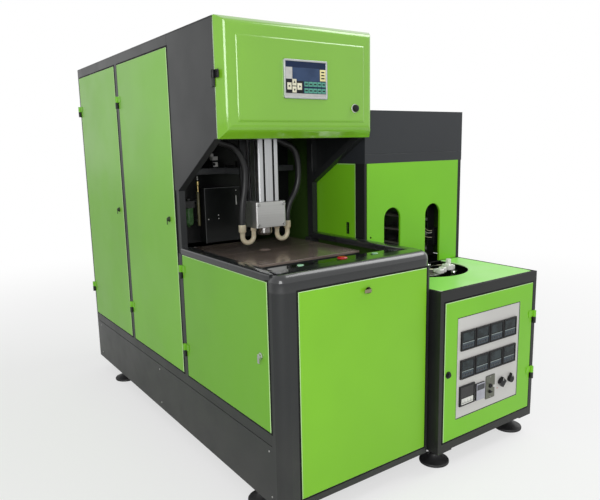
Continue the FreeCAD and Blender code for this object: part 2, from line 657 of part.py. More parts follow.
def stretch_rod():
    """Stretch rod with its piston near the top of the barrel."""
    top = COLUMN_TOP - 20
    outline = [(0, ROD_TIP), (ROD_R - 3, ROD_TIP), (ROD_R, ROD_TIP + 5), (ROD_R, top - 26),
               (BARREL_BORE_R - 0.6, top - 26), (BARREL_BORE_R - 0.6, top), (0, top)]
    return turned(outline, (MID_X, AXIS_Y))


# ---------------------------------------------------------------- clamp
FRONT_PLATEN_Y = (AXIS_Y - MOULD_T - PLATEN_T, AXIS_Y - MOULD_T)
REAR_PLATEN_Y = (AXIS_Y + MOULD_T, AXIS_Y + MOULD_T + PLATEN_T)
GUIDE_Z = (268.0, 292.0)
GUIDE_W = 30.0


def slide_bed():
    """Thick bed plate with the two ground guide rails."""
    plate = block((TUBE, BLOWER_W - TUBE), (100, 2030), (CROSS_Z[1], GUIDE_Z[0]))
    rails = [block((x - GUIDE_W / 2, x + GUIDE_W / 2), (185, 1960), GUIDE_Z) for x in RAIL_X]
    return [plate] + rails


def carriages(y):
    """Two guide carriages that straddle the rails under a plate."""
    shoes = []
    for x in RAIL_X:
        shoe = block((x - 45, x + 45), y, (GUIDE_Z[0] + 6, PLATEN_Z[0]))
        groove = block((x - GUIDE_W / 2 - 0.5, x + GUIDE_W / 2 + 0.5), (y[0] - 1, y[1] + 1),
                       (GUIDE_Z[0], GUIDE_Z[1] + 0.5))
        shoes.append(shoe.cut(groove))
    return shoes


def drilled(plate, y, radius):
    """A plate with its four tie bar holes."""
    for x in TIE_BAR_X:
        for z in TIE_BAR_Z:
            plate = plate.cut(bar((x, y[0] - 1, z), (x, y[1] + 1, z), radius, 8))
    return plate


def platen(y, hole_r):
    """A platen: plate with tie bar holes, on its guide carriages."""
    plate = drilled(block(PLATEN_X, y, PLATEN_Z), y, hole_r)
    return [plate] + carriages((y[0], y[0] + 90) if y[0] > AXIS_Y else (y[1] - 90, y[1]))


def bottle_core():
    """The blown bottle's form: ribbed body, sloping shoulder and neck."""
    low, high = BOTTLE_Z
    r = BOTTLE_R
    outline = [(0, low + 14), (r - 55, low + 10), (r - 30, low), (r - 10, low), (r, low + 12)]
    first, pitch, half, deep = low + 60, 48.0, 9.0, 5.0
    for i in range(4):
        z = first + pitch * i
        outline += [(r, z - half), (r - deep, z), (r, z + half)]
    outline += [(r, low + 240), (r - 20, low + 275), (NECK_R + 6, high - 22), (NECK_R, high - 8),
                (NECK_R, DECK_Z[1] + 5), (0, DECK_Z[1] + 5)]
    return turned(outline, (MID_X, AXIS_Y), sides=20)


def mould_half(front):
    """One half of the mould, hollowed by the bottle's form, with cooling bores."""
    y = (AXIS_Y - MOULD_T, AXIS_Y - MOULD_GAP / 2) if front else (AXIS_Y + MOULD_GAP / 2, AXIS_Y + MOULD_T)
    half = block(MOULD_X, y, MOULD_Z).cut(bottle_core())
    back = y[0] + 40 if front else y[1] - 40
    for x in (MOULD_X[0] + 30, MOULD_X[1] - 30):
        half = half.cut(bar((x, back, MOULD_Z[0] - 1), (x, back, MOULD_Z[1] + 1), 7, 8))
    return half


def deck_plate(front):
    """Thin plate over one mould half, from wall to wall, notched for the neck."""
    y = (FRONT_PLATEN_Y[0], AXIS_Y - MOULD_GAP / 2) if front else (AXIS_Y + MOULD_GAP / 2, REAR_PLATEN_Y[1] - 5)
    plate = block((PLATEN_X[0], PLATEN_X[1]), y, DECK_Z)
    return plate.cut(bar((MID_X, AXIS_Y, DECK_Z[0] - 1), (MID_X, AXIS_Y, DECK_Z[1] + 1), NECK_R + 4))


def tie_bars():
    """Four tie bars, each shouldered by a round nut at both ends."""
    near, far = FRONT_PLATEN_Y[0], CROSSHEAD_Y[1]
    lengths = [
        [(0, near - 35), (TIE_BAR_R, near - 35), (TIE_BAR_R, near - 28), (TIE_NUT_R, near - 28),
         (TIE_NUT_R, near), (0, near)],
        [(0, near), (TIE_BAR_R, near), (TIE_BAR_R, far), (0, far)],
        [(0, far), (TIE_NUT_R, far), (TIE_NUT_R, far + 32), (TIE_BAR_R, far + 32),
         (TIE_BAR_R, far + 40), (0, far + 40)],
    ]
    places = [(x, 0, z) for x in TIE_BAR_X for z in TIE_BAR_Z]
    return [turned(outline, place, (0, 1, 0), 8) for place in places for outline in lengths]


CLAMP_BORE_R = 100.0
CLAMP_ROD_R = 35.0


def clamp_cylinder():
    """Rear crosshead with the clamp cylinder's barrel bolted to its front."""
    head = drilled(block(PLATEN_X, CROSSHEAD_Y, (PLATEN_Z[0], 880)), CROSSHEAD_Y, TIE_BAR_R)
    y0, y1 = CLAMP_BARREL_Y
    outline = [(0, y0), (128, y0), (128, y0 + 30), (112, y0 + 30), (112, y1 - 30), (128, y1 - 30), (128, y1), (0, y1)]
    barrel = turned(outline, (MID_X, 0, CLAMP_Z), (0, 1, 0))
    barrel = barrel.cut(hole((MID_X, y0 + 20, CLAMP_Z), (MID_X, y1 - 20, CLAMP_Z), CLAMP_BORE_R))
    barrel = barrel.cut(hole((MID_X, y0 - 1, CLAMP_Z), (MID_X, y0 + 21, CLAMP_Z), CLAMP_ROD_R + 0.5))
    return [head, barrel] + carriages(CROSSHEAD_Y)


def clamp_rod():
    """Piston rod of the clamp with its flange on the rear platen, and the piston."""
    y, piston = REAR_PLATEN_Y[1], CLAMP_BARREL_Y[0] + 30
    lengths = [(y, y + 20, 70.0), (y + 20, piston, CLAMP_ROD_R), (piston, piston + 30, CLAMP_BORE_R - 0.6)]
    return [bar((MID_X, y0, CLAMP_Z), (MID_X, y1, CLAMP_Z), radius) for y0, y1, radius in lengths]


# ---------------------------------------------------------------- hoses in the bay
HOSE_R = 15.0
HOSE_LEFT = [(254, 672, 1046), (254, 672, 1116), (276, 672, 1215), (279, 672, 1318), (232, 676, 1392),
             (170, 684, 1408), (136, 696, 1430)]
HOSE_RIGHT = [(496, 672, 1046), (496, 672, 1108), (564, 672, 1200), (569, 672, 1310), (545, 672, 1382),
              (480, 682, 1408), (446, 696, 1430)]


def flexible(points, radius, sides):
    """A hose or wire: straight runs joined by tangent arcs, as large as the runs allow."""
    start, along = V(*points[0]), (V(*points[1]) - V(*points[0])).normalize()
    across = V(0, 1, 0) if abs(along.y) < 0.9 else V(1, 0, 0)
    third = along.cross(across)
    angles = [2 * math.pi * (k + 0.5) / sides for k in range(sides)]
    ring = [start + (across * math.cos(a) + third * math.sin(a)) * radius for a in angles]
    section = Part.Face(Part.makePolygon(ring + ring[:1]))
    length, least, pieces = 0.0, 1e9, []
    for before, here, after in zip(points, points[1:], points[2:]):
        before, here, after = V(*before), V(*here), V(*after)
        along, leaving = (here - before).normalize(), (after - here).normalize()
        turn = along.getAngle(leaving)
        reach = 0.45 * min((here - before).Length, (after - here).Length)
        bend = reach / math.tan(turn / 2)
        run = (here - along * reach) - start
        pieces.append(section.extrude(run))
        section.translate(run)
        axis = along.cross(leaving).normalize()
        centre = here - along * reach + axis.cross(along) * bend
        pieces.append(section.revolve(centre, axis, math.degrees(turn)))
        section.rotate(centre, axis, math.degrees(turn))
        start = here + leaving * reach
        length += run.Length + bend * turn
        least = min(least, bend)
    run = V(*points[-1]) - start
    pieces.append(section.extrude(run))
    length += run.Length
    shape = pieces[0].multiFuse(pieces[1:]).removeSplitter().Solids[0]
    ratio = shape.Volume / (sides / 2 * radius ** 2 * math.sin(2 * math.pi / sides) * length)
    print("length %.1f least radius %.1f volume ratio %.4f" % (length, least, ratio))
    return shape


ELBOW_R = 11.0
ELBOW_BEND = 29.0
ELBOW_Z = 992.0


def hose_elbow(x, inward):
    """Swivel nut and U bend that take a hose into the underside of the air block."""
    nut = turned([(0, ELBOW_Z), (ELBOW_R, ELBOW_Z), (ELBOW_R, 1012), (17, 1016), (17, 1046), (0, 1046)],
                 (x, 672), sides=8)
    corners = [V(x + ELBOW_R * math.cos(a), 672 + ELBOW_R * math.sin(a), ELBOW_Z)
               for a in [math.pi * (k + 0.5) / 4 for k in range(8)]]
    centre = V(x + inward * ELBOW_BEND, 672, ELBOW_Z)
    bend = Part.Face(Part.makePolygon(corners + corners[:1])).revolve(centre, V(0, -inward, 0), 180)
    leg_x = x + inward * 2 * ELBOW_BEND
    leg = turned([(0, ELBOW_Z), (ELBOW_R, ELBOW_Z), (ELBOW_R, 1016), (14.5, 1016), (14.5, BLOCK_Z[0]), (0, BLOCK_Z[0])],
                 (leg_x, 672), sides=8)
    return nut.fuse([bend, leg]).removeSplitter()


# ---------------------------------------------------------------- heater
def heater_frame():
    """Welded frame of the heater: posts, base rails, table border and tower rails."""
    x0, x1 = HEATER_X
    p = HEATER_POST
    f = HEATER_FRONT
    back = TOWER_Y[1]
    pieces = []
    for x in ((x0, x0 + p), (x1 - p, x1)):
        pieces.append(block(x, (f, f + 30), (125, 745)))
        pieces.append(block(x, (TOWER_Y[0] + SKIN, TOWER_Y[0] + TOWER_POST), (125, HEADER_Z[0])))
        pieces.append(block(x, (back - 30, back), (125, HEADER_Z[0])))
        inner = (0, 60) if x[0] == x0 else (-60, 0)
        pieces.append(block((x[0] + inner[0], x[1] + inner[1]), (f, back), (FOOT_H, 86)))
        pieces.append(block(x, (f, back), (86, 125)))
    pieces.append(block((x0 + p, x1 - p), (f, f + 30), (86, 124)))
    pieces.append(block((x0, x1), (f, f + 12), (745, TABLE_Z)))
    pieces.append(block((x0, x0 + 12), (f + 12, TOWER_Y[0]), (745, TABLE_Z)))
    pieces.append(block((x1 - 12, x1), (f + 12, TOWER_Y[0]), (745, TABLE_Z)))
    pieces.append(block((x0 + p, x1 - p), (f + 12, f + 42), (745, 785)))
    pieces.append(block((x0 + p, x1 - p), (back - 33, back - SKIN), (745, 785)))
    for x in ((x0 + SKIN, x0 + p), (x1 - p, x1 - SKIN)):
        pieces.append(block(x, (f + 30, TOWER_Y[0] + SKIN), (640, 690)))
        pieces.append(block(x, (TOWER_Y[0] + TOWER_POST, back - 30), (640, 690)))
    return pieces


def heater_panels():
    """Black side and back sheets of the heater's lower cabinet."""
    x0, x1 = HEATER_X
    f, back, p = HEATER_FRONT + 30, TOWER_Y[1], HEATER_POST
    sides = []
    for x in ((x0, x0 + SKIN), (x1 - SKIN, x1)):
        sides.append(block(x, (f, TOWER_Y[0] + SKIN), (125, 745)))
        sides.append(block(x, (TOWER_Y[0] + TOWER_POST, back - 30), (125, TABLE_Z - 2)))
    sides.append(block((x0 + p, x1 - p), (back - SKIN, back), (125, TABLE_Z - 2)))
    return sides


def arch(x):
    """Cutter for one preform arch in the tower's front."""
    half = ARCH_W / 2
    y = (TOWER_Y[0] - 5, TOWER_Y[0] + 10)
    straight = block((x - half, x + half), y, (TABLE_Z - 5, ARCH_TOP - half))
    crown = cylinder((x, y[0], ARCH_TOP - half), (x, y[1], ARCH_TOP - half), half)
    return straight.fuse(crown)


def tower_front():
    """Green front of the tower with the two arches for the preforms."""
    plate = block((766, 1385), (TOWER_Y[0], TOWER_Y[0] + SKIN), (TABLE_Z, HEADER_Z[0]))
    for side in (-1, 1):
        plate = plate.cut(arch(LOOP_X + side * LOOP_R))
    return plate.cut(bar((789, 410, 960), (789, 420, 960), 5, 8))


def tower_panels():
    """Green side and back sheets of the tower; the sides have a slot to lift them by."""
    x0, x1 = HEATER_X
    y = (TOWER_Y[0] + TOWER_POST, TOWER_Y[1] - 30)
    z = (TABLE_Z, HEADER_Z[0])
    slot = block((x0 - 5, x1 + 5), (530, 542), (974, 1022))
    sheets = [block(x, y, z).cut(slot) for x in ((x0, x0 + SKIN), (x1 - SKIN, x1))]
    back = block((x0 + HEATER_POST, x1 - HEATER_POST), (TOWER_Y[1] - SKIN, TOWER_Y[1]), z)
    back = louvres(back, (950, 1210), (TOWER_Y[1] - 5, TOWER_Y[1] + 1), 1080, 6, 24)
    return sheets + [back]


def tower_header():
    """Dark hood over the tower, open below, with a seam line round it."""
    x0, x1 = HEATER_X
    hood = block(HEATER_X, TOWER_Y, HEADER_Z)
    hood = hood.cut(block((x0 + SKIN, x1 - SKIN), (TOWER_Y[0] + SKIN, TOWER_Y[1] - SKIN),
                          (HEADER_Z[0] - 1, HEADER_Z[1] - SKIN)))
    seam = block((x0 - 1, x1 + 1), (TOWER_Y[0] - 1, TOWER_Y[0] + 1), (1344, 1346))
    return hood.cut(seam)


TABLE_HOLE_R = 203.0


def table_top():
    """Green table plate with the round-fronted opening over the preform loop."""
    x0, x1 = HEATER_X
    plate = block((x0 + 12, x1 - 12), (HEATER_FRONT + 12, TOWER_Y[0]), (TABLE_Z - 5, TABLE_Z))
    front = cylinder((LOOP_X, LOOP_Y[0], TABLE_Z - 10), (LOOP_X, LOOP_Y[0], TABLE_Z + 5), TABLE_HOLE_R)
    tail = block((LOOP_X - TABLE_HOLE_R, LOOP_X + TABLE_HOLE_R), (LOOP_Y[0], TOWER_Y[0] + 1),
                 (TABLE_Z - 10, TABLE_Z + 5))
    return plate.cut(front.fuse(tail))


HEATER_AXIS = (1393.0, HEATER_FRONT - 8.5)
HEATER_HINGES = (576.0, 301.0)
HEATER_LOCK = (803.0, 430.0)


def heater_door():
    """Cabinet door with a window for the instruments, on two lift-off hinges."""
    f = HEATER_FRONT
    (x, z) = HEATER_DOOR
    xs = (x[0] + DOOR_GAP, x[1] - DOOR_GAP)
    zs = (z[0] + DOOR_GAP, z[1] - DOOR_GAP)
    tray = block(xs, (f - DOOR_PROUD, f + DOOR_DEPTH - DOOR_PROUD), zs)
    tray = bevel_edges(tray, 2, lambda e: abs(e.CenterOfMass.y - f + DOOR_PROUD) < 0.1)
    tray = tray.cut(block((xs[0] + SHEET, xs[1] - SHEET), (f - DOOR_PROUD + SHEET, f + DOOR_DEPTH),
                          (zs[0] + SHEET, zs[1] - SHEET)))
    tray = tray.cut(block(WINDOW[0], (f - 10, f + 2), WINDOW[1]))
    tray = tray.cut(hole((HEATER_LOCK[0], f - 10, HEATER_LOCK[1]), (HEATER_LOCK[0], f + 10, HEATER_LOCK[1]),
                         LOCK_HOLE_R))
    leaves = [hinge_upper(*HEATER_AXIS, h, ((HEATER_AXIS[0] - 38, HEATER_AXIS[0]), (f - 6, f - DOOR_PROUD)))
              for h in HEATER_HINGES]
    return [tray] + leaves


def heater_pintles():
    """Frame halves of the heater door's hinges and its striker lip."""
    f = HEATER_FRONT
    halves = [hinge_lower(*HEATER_AXIS, h, ((HEATER_AXIS[0] - 2, HEATER_AXIS[0] + 12), (f - 5, f)))
              for h in HEATER_HINGES]
    z = HEATER_LOCK[1]
    lip = block((HEATER_X[0] + HEATER_POST, HEATER_X[0] + HEATER_POST + 10), (f + 25, f + 28), (z - 25, z + 25))
    return halves + [lip]


PLATE_Y = (HEATER_FRONT - 1.0, HEATER_FRONT + 2.0)
FACE_Y = HEATER_FRONT - 9.0


def instrument_plate():
    """Light plate behind the door's window that carries the instruments."""
    return block((WINDOW[0][0] - 15, WINDOW[0][1] + 15), PLATE_Y, (WINDOW[1][0] - 15, WINDOW[1][1] + 15))


def module(x, z, deep):
    """A panel instrument: bezel with a sunk face, and its case behind the plate."""
    face = block(x, (FACE_Y, PLATE_Y[0]), z)
    face = face.cut(block((x[0] + 7, x[1] - 7), (FACE_Y - 1, FACE_Y + 3), (z[0] + 7, z[1] - 7)))
    case = block((x[0] + 5, x[1] - 5), (PLATE_Y[1], PLATE_Y[1] + deep), (z[0] + 5, z[1] - 5))
    return [face, case]


MODULE_W = 92.0
MODULE_PITCH = 96.0


def instruments():
    """Eight lamp regulators, the voltmeter, the counter and the switch plate."""
    solids = []
    for row in (516.0, 389.0):
        for i in range(4):
            x = 879.0 + MODULE_PITCH * i
            solids += module((x, x + MODULE_W), (row, row + 86), 70)
    solids += module((877, 976), (266, 357), 60)
    solids += module((986, 1044), (265, 343), 50)
    return solids


def switch_plate():
    """Steel plate of the toggle switch."""
    plate = block((1056, 1120), (PLATE_Y[0] - 2.5, PLATE_Y[0]), (250, 360))
    return bevel_edges(plate, 4, lambda e: e.BoundBox.YLength > 2 and e.BoundBox.XLength < 0.1
                       and e.BoundBox.ZLength < 0.1)


TOGGLE = (1088.0, 309.0)


def toggle_switch():
    """Toggle lever with its tip, pivoted at the plate."""
    outline = [(0, 0), (3.5, 0), (3.5, 12), (5.5, 19), (5.5, 22), (3, 25), (0, 25)]
    return turned(outline, (TOGGLE[0], PLATE_Y[0] - 3.5, TOGGLE[1]), (0, -19, 6))


DIAMOND_KNOB = (1163.0, 311.0)
DROP_KNOB = (1230.0, 313.0)


def diamond_knob():
    """Selector knob with a square grip standing on its corner."""
    x, z = DIAMOND_KNOB
    y = PLATE_Y[0]
    grip = prism([(x - 24, z), (x, z - 24), (x + 24, z), (x, z + 24)], "y", y - 18, y - 4)
    skirt = bar((x, y, z), (x, y - 4.5, z), 17)
    return grip.fuse(skirt).removeSplitter()


def drop_knob():
    """Selector knob with a drop-shaped grip, pointed at the top."""
    x, z = DROP_KNOB
    y = PLATE_Y[0]
    disc = bar((x, y, z - 4), (x, y - 16, z - 4), 16)
    point = prism([(x - 12, z), (x + 12, z), (x, z + 25)], "y", y - 16, y - 2)
    return disc.fuse(point).removeSplitter()


# ---------------------------------------------------------------- preform loop
SPINDLES = 16
TRACK_Z = (700.0, 708.0)
TRACK_TUBE_Y = (250.0, 900.0, 1440.0)
WHEEL_R = 100.0
AXLE_R = 12.0


def loop_point(distance):
    """Place on the loop at a distance along it: two straights and two half circles."""
    straight = LOOP_Y[1] - LOOP_Y[0]
    half = math.pi * LOOP_R
    distance %= 2 * (straight + half)
    if distance < straight:
        return LOOP_X + LOOP_R, LOOP_Y[0] + distance
    distance -= straight
    if distance < half:
        a = distance / LOOP_R
        return LOOP_X + LOOP_R * math.cos(a), LOOP_Y[1] + LOOP_R * math.sin(a)
    distance -= half
    if distance < straight:
        return LOOP_X - LOOP_R, LOOP_Y[1] - distance
    a = math.pi + (distance - straight) / LOOP_R
    return LOOP_X + LOOP_R * math.cos(a), LOOP_Y[0] + LOOP_R * math.sin(a)


def racetrack(radius, z):
    """A plate round both wheels: two half circles and the straights between them."""
    corners = []
    for y, start in ((LOOP_Y[0], 180), (LOOP_Y[1], 0)):
        for i in range(9):
            a = math.radians(start + 22.5 * i)
            corners.append((LOOP_X + radius * math.cos(a), y + radius * math.sin(a)))
    return prism(corners, "z", *z)


def preform_track():
    """Ring-shaped track of the spindles, the wheels' axles and the cover over them."""
    ring = racetrack(LOOP_R + 32, TRACK_Z).cut(racetrack(LOOP_R - 32, (TRACK_Z[0] - 1, TRACK_Z[1] + 1)))
    solids = [ring]
    for y in TRACK_TUBE_Y:
        solids.append(block((HEATER_X[0] + HEATER_POST, HEATER_X[1] - HEATER_POST), (y, y + 30), (660, 690)))
        solids += [block((LOOP_X + s * LOOP_R - 12, LOOP_X + s * LOOP_R + 12), (y, y + 30), (690, TRACK_Z[0]))
                   for s in (-1, 1)]
    for y in LOOP_Y:
        solids.append(block((HEATER_X[0] + HEATER_POST, HEATER_X[1] - HEATER_POST), (y - 25, y + 25),
                             (640, 660)))
        solids.append(bar((LOOP_X, y, 660), (LOOP_X, y, 770), AXLE_R, 8))
    solids.append(racetrack(88, (770, 774)))
    return solids


def preform_spindles():
    """Spindles that carry the preforms round the loop, neck down."""
    straight = LOOP_Y[1] - LOOP_Y[0]
    length = 2 * (straight + math.pi * LOOP_R)
    outline = [(0, TRACK_Z[1]), (24, TRACK_Z[1]), (24, TRACK_Z[1] + 12), (17, TRACK_Z[1] + 12), (17, 780), (0, 780)]
    return [turned(outline, loop_point(length * (i + 0.5) / SPINDLES), sides=6) for i in range(SPINDLES)]


def turning_wheel(y):
    """Wheel that leads the spindle chain round one end of the loop."""
    bore = (AXLE_R + 0.3) / math.cos(math.pi / ROUND)
    outline = [(bore, 706), (30, 706), (30, 714), (WHEEL_R - 14, 714), (WHEEL_R - 14, 710), (WHEEL_R, 710),
               (WHEEL_R, 726), (WHEEL_R - 14, 726), (WHEEL_R - 14, 720), (30, 720), (30, 740), (bore, 740)]
    wheel = turned(outline, (LOOP_X, y))
    for i in range(4):
        a = math.radians(90 * i + 45)
        centre = (LOOP_X + 58 * math.cos(a), y + 58 * math.sin(a))
        wheel = wheel.cut(bar((*centre, 700), (*centre, 730), 21, 6))
    return wheel


LAMP_Z = [835.0 + 78.0 * i for i in range(6)]


def lamp_racks():
    """Two reflector racks along the outer sides of the lanes, each with its lamps."""
    solids = []
    for side in (-1, 1):
        outer = LOOP_X + side * 268
        inner = LOOP_X + side * 218
        x = (min(outer, inner), max(outer, inner))
        mouth = (inner, outer - SKIN) if side > 0 else (outer + SKIN, inner)
        back = (mouth[1], outer) if side > 0 else (outer, mouth[0])
        solids.append(block(back, (520, 1640), (800, 1270)))
        solids += [block(mouth, (520, 1640), z) for z in ((800, 803), (1267, 1270))]
        solids += [block(mouth, y, (803, 1267)) for y in ((520, 523), (1637, 1640))]
        solids += [bar((LOOP_X + side * 240, 523, z), (LOOP_X + side * 240, 1637, z), 6, 6) for z in LAMP_Z]
        solids += [block((x[0] + 15, x[0] + 35), (y, y + 30), (690, 800)) for y in TRACK_TUBE_Y[1:]]
    return solids


# ---------------------------------------------------------------- loose wires
WIRE_R = 3.0
WIRE_A = [(1296, 500, 930), (1262, 500, 930), (1208, 480, 960), (1150, 470, 944), (1114, 476, 884),
          (1099, 468, 818), (1086, 430, 777.5), (1076, 380, 777.5), (1070, 340, 778.5), (1088, 312, 785),
          (1088, 288, 785)]
WIRE_B = [(1296, 500, 895), (1262, 500, 895), (1212, 482, 914), (1160, 480, 884), (1128, 480, 822),
          (1112, 438, 780), (1108, 378, 781), (1126, 336, 791), (1152, 316, 796), (1152, 294, 796)]
PLUG_A = (1095.0, 262.0)
PLUG_B = (1158.0, 270.0)


def terminal_strip():
    """Ceramic terminal strip on the end of the right lamp rack."""
    strip = block((1296, 1322), (488, 520), (860, 950))
    return bevel_edges(strip, 3, lambda e: abs(e.CenterOfMass.y - 488) < 0.1)


def wire_plugs():
    """White ceramic connectors on the wires' free ends and the strip they start from."""
    x, y = PLUG_A
    flat = bevel_edges(block((x - 22, x + 12), (y - 26, y + 26), (774, 796)), 3, lambda e: e.BoundBox.ZLength > 20)
    x, y = PLUG_B
    upright = bevel_edges(block((x - 20, x + 14), (y - 14, y + 24), (780, 812)), 3, lambda e: e.BoundBox.ZLength > 20)
    return [terminal_strip(), flat, upright]


# ---------------------------------------------------------------- the assembly
os.makedirs("parts", exist_ok=True)

save("foot_pads", [foot_pad(p) for p in FOOT_PLACES])
save("foot_studs", [foot_stud(p) for p in FOOT_PLACES])
save("bed_frame", bed_frame(), pivot_pins())
save("cabinet_frame", cabinet_frame(), cover_pintle())
save("bed_skins", bed_skins())
save("bed_rims", front_rim(), both([side_rim()]))
save("button_shelf", button_shelf())
save("head_shell", head_shell(), roof())
save("fixed_panels", fixed_panels())
save("bay_structure", bay_structure(), valve_box())
save("air_service_unit", air_service_unit())
save("slide_bed", slide_bed())
save("blow_cylinder", blow_cylinder())
save("blow_block", blow_block())
save("air_hoses", [flexible(route, HOSE_R, 6) for route in (HOSE_LEFT, HOSE_RIGHT)])
save("hose_elbows", hose_elbow(254, 1), hose_elbow(496, -1))

for door in SIDE_HINGES:
    save(door + "_door", side_door(door))
    save(door + "_door_lock", side_lock(door))
save("front_panel", front_panel())
save("front_panel_lock", cam_lock((FRONT_LOCK[0], -DOOR_PROUD, FRONT_LOCK[1]), (0, 1, 0), 34, (1, 0, 0), 13,
                                  (-1, 0, 0), 35))
save("head_cover", head_cover())
save("cover_knob", cover_knob())
save("operator_panel", operator_panel())
save("stop_button", push_button(STOP_X, 21, 10, 4, 16))
save("start_button_left", push_button(START_X[0], 13, 4, 1.5, ROUND))
save("start_button_right", push_button(START_X[1], 13, 4, 1.5, ROUND))

save("front_platen", platen(FRONT_PLATEN_Y, TIE_BAR_R))
save("mould_front", mould_half(True))
save("deck_front", deck_plate(True))
save("tie_bars", tie_bars())
save("clamp_cylinder", clamp_cylinder())
save("rear_platen", platen(REAR_PLATEN_Y, TIE_BAR_R + 0.4))
save("mould_rear", mould_half(False))
save("deck_rear", deck_plate(False))
save("clamp_rod", clamp_rod())
save("seal_nozzle", seal_nozzle())
save("stretch_rod", stretch_rod())

save("heater_frame", heater_frame(), heater_pintles(), heater_panels())
save("tower_front", tower_front())
save("tower_panels", tower_panels())
save("tower_header", tower_header())
save("table_top", table_top())
save("heater_door", heater_door())
save("heater_door_lock", cam_lock((HEATER_LOCK[0], HEATER_FRONT - DOOR_PROUD, HEATER_LOCK[1]), (0, 1, 0), 22,
                                  (0, 0, 1), 16, None, 36))
save("instrument_plate", instrument_plate())
save("instruments", instruments(), switch_plate())
save("toggle_switch", toggle_switch())
save("diamond_knob", diamond_knob())
save("drop_knob", drop_knob())
save("preform_track", preform_track())
save("preform_spindles", preform_spindles())
save("front_wheel", turning_wheel(LOOP_Y[0]))
save("rear_wheel", turning_wheel(LOOP_Y[1]))
save("lamp_racks", lamp_racks())
save("lamp_wires", [flexible(route, WIRE_R, 5) for route in (WIRE_A, WIRE_B)])
save("wire_plugs", wire_plugs())

print(len(NODES), "nodes")
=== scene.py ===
import json
import math

import bmesh
import bpy
import numpy as np
from mathutils import Matrix

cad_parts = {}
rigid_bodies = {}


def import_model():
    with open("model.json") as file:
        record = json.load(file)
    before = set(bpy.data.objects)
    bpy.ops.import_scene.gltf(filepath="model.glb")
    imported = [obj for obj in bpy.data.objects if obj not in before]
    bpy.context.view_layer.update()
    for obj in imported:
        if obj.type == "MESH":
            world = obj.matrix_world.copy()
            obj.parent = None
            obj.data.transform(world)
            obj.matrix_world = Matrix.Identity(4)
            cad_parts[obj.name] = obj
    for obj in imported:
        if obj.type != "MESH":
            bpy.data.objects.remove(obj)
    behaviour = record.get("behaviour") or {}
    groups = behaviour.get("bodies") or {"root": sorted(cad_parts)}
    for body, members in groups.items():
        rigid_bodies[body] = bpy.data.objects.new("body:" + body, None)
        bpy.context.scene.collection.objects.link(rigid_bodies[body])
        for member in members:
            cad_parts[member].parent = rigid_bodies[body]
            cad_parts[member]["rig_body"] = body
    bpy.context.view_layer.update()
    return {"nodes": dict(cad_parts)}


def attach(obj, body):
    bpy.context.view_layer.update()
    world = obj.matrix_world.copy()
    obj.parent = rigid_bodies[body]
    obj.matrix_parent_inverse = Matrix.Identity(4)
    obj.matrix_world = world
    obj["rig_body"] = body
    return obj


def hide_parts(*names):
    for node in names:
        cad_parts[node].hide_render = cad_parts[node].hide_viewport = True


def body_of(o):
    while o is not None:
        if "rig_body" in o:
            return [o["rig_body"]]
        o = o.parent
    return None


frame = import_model()
scene = bpy.context.scene

# ---------------------------------------------------------------- the view
# The camera stands at eye height off the blower's front left corner. Its place, lens and lean
# were solved from the straight edges of both cabinets in the photograph's 600 by 500 frame.
FRAME_WIDTH = 600
FOCAL_PIXELS = 593.7
SENSOR = 36.0
CAMERA_PLACE = (-1.74727, -2.66487, 1.39)
yaw, pitch, roll = np.radians([35.082, -9.974, -1.209])

ahead = np.array([math.sin(yaw) * math.cos(pitch), math.cos(yaw) * math.cos(pitch), math.sin(pitch)])
level = np.array([math.cos(yaw), -math.sin(yaw), 0.0])
upward = np.cross(level, ahead)
right = math.cos(roll) * level + math.sin(roll) * upward
above = math.cos(roll) * upward - math.sin(roll) * level
camera = bpy.data.objects.new("camera", bpy.data.cameras.new("camera"))
camera.data.sensor_width = SENSOR
camera.data.lens = FOCAL_PIXELS * SENSOR / FRAME_WIDTH
turn = np.eye(4)
turn[:3, 0], turn[:3, 1], turn[:3, 2], turn[:3, 3] = right, above, -ahead, CAMERA_PLACE
camera.matrix_world = Matrix(turn.tolist())
scene.collection.objects.link(camera)
scene.camera = camera
scene.view_settings.view_transform = "Standard"


# ---------------------------------------------------------------- the floor and the light
# A plain pale floor without an edge, a white surrounding that metal and glass show too, and two
# large soft lamps: one behind the camera's left shoulder and a larger, higher one to the right.
def add(tree, kind, inputs=(), **settings):
    """Adds a shader node: settings are its properties, inputs are values or the sockets that feed it."""
    node = tree.nodes.new("ShaderNode" + kind)
    for key, value in settings.items():
        setattr(node, key, value)
    for key, value in dict(inputs).items():
        if isinstance(value, bpy.types.NodeSocket):
            tree.links.new(value, node.inputs[key])
        else:
            node.inputs[key].default_value = value
    return node


WORLD_LEVEL = 0.50
FLOOR_COLOUR = (0.86, 0.86, 0.86, 1)
FLOOR_SHOWN_WHITE = (0.62, 1.0)
FLOOR_WHITE_FROM = (1.6, 5.5)
FLOOR_HALF = 30.0
FLOOR_LEVEL = -0.0005

world = bpy.data.worlds.new("surrounding")
scene.world = world
world.use_nodes = True
sky = world.node_tree
rays = add(sky, "LightPath")
seen = add(sky, "Math", {0: rays.outputs["Is Camera Ray"], 1: rays.outputs["Is Glossy Ray"]},
           operation="MAXIMUM")
seen = add(sky, "Math", {0: seen.outputs[0], 1: rays.outputs["Is Transmission Ray"]}, operation="MAXIMUM")
strength = add(sky, "MapRange", {"Value": seen.outputs[0], "To Min": WORLD_LEVEL, "To Max": 1.0})
sky.nodes["Background"].inputs["Color"].default_value = (1, 1, 1, 1)
sky.links.new(strength.outputs[0], sky.nodes["Background"].inputs["Strength"])

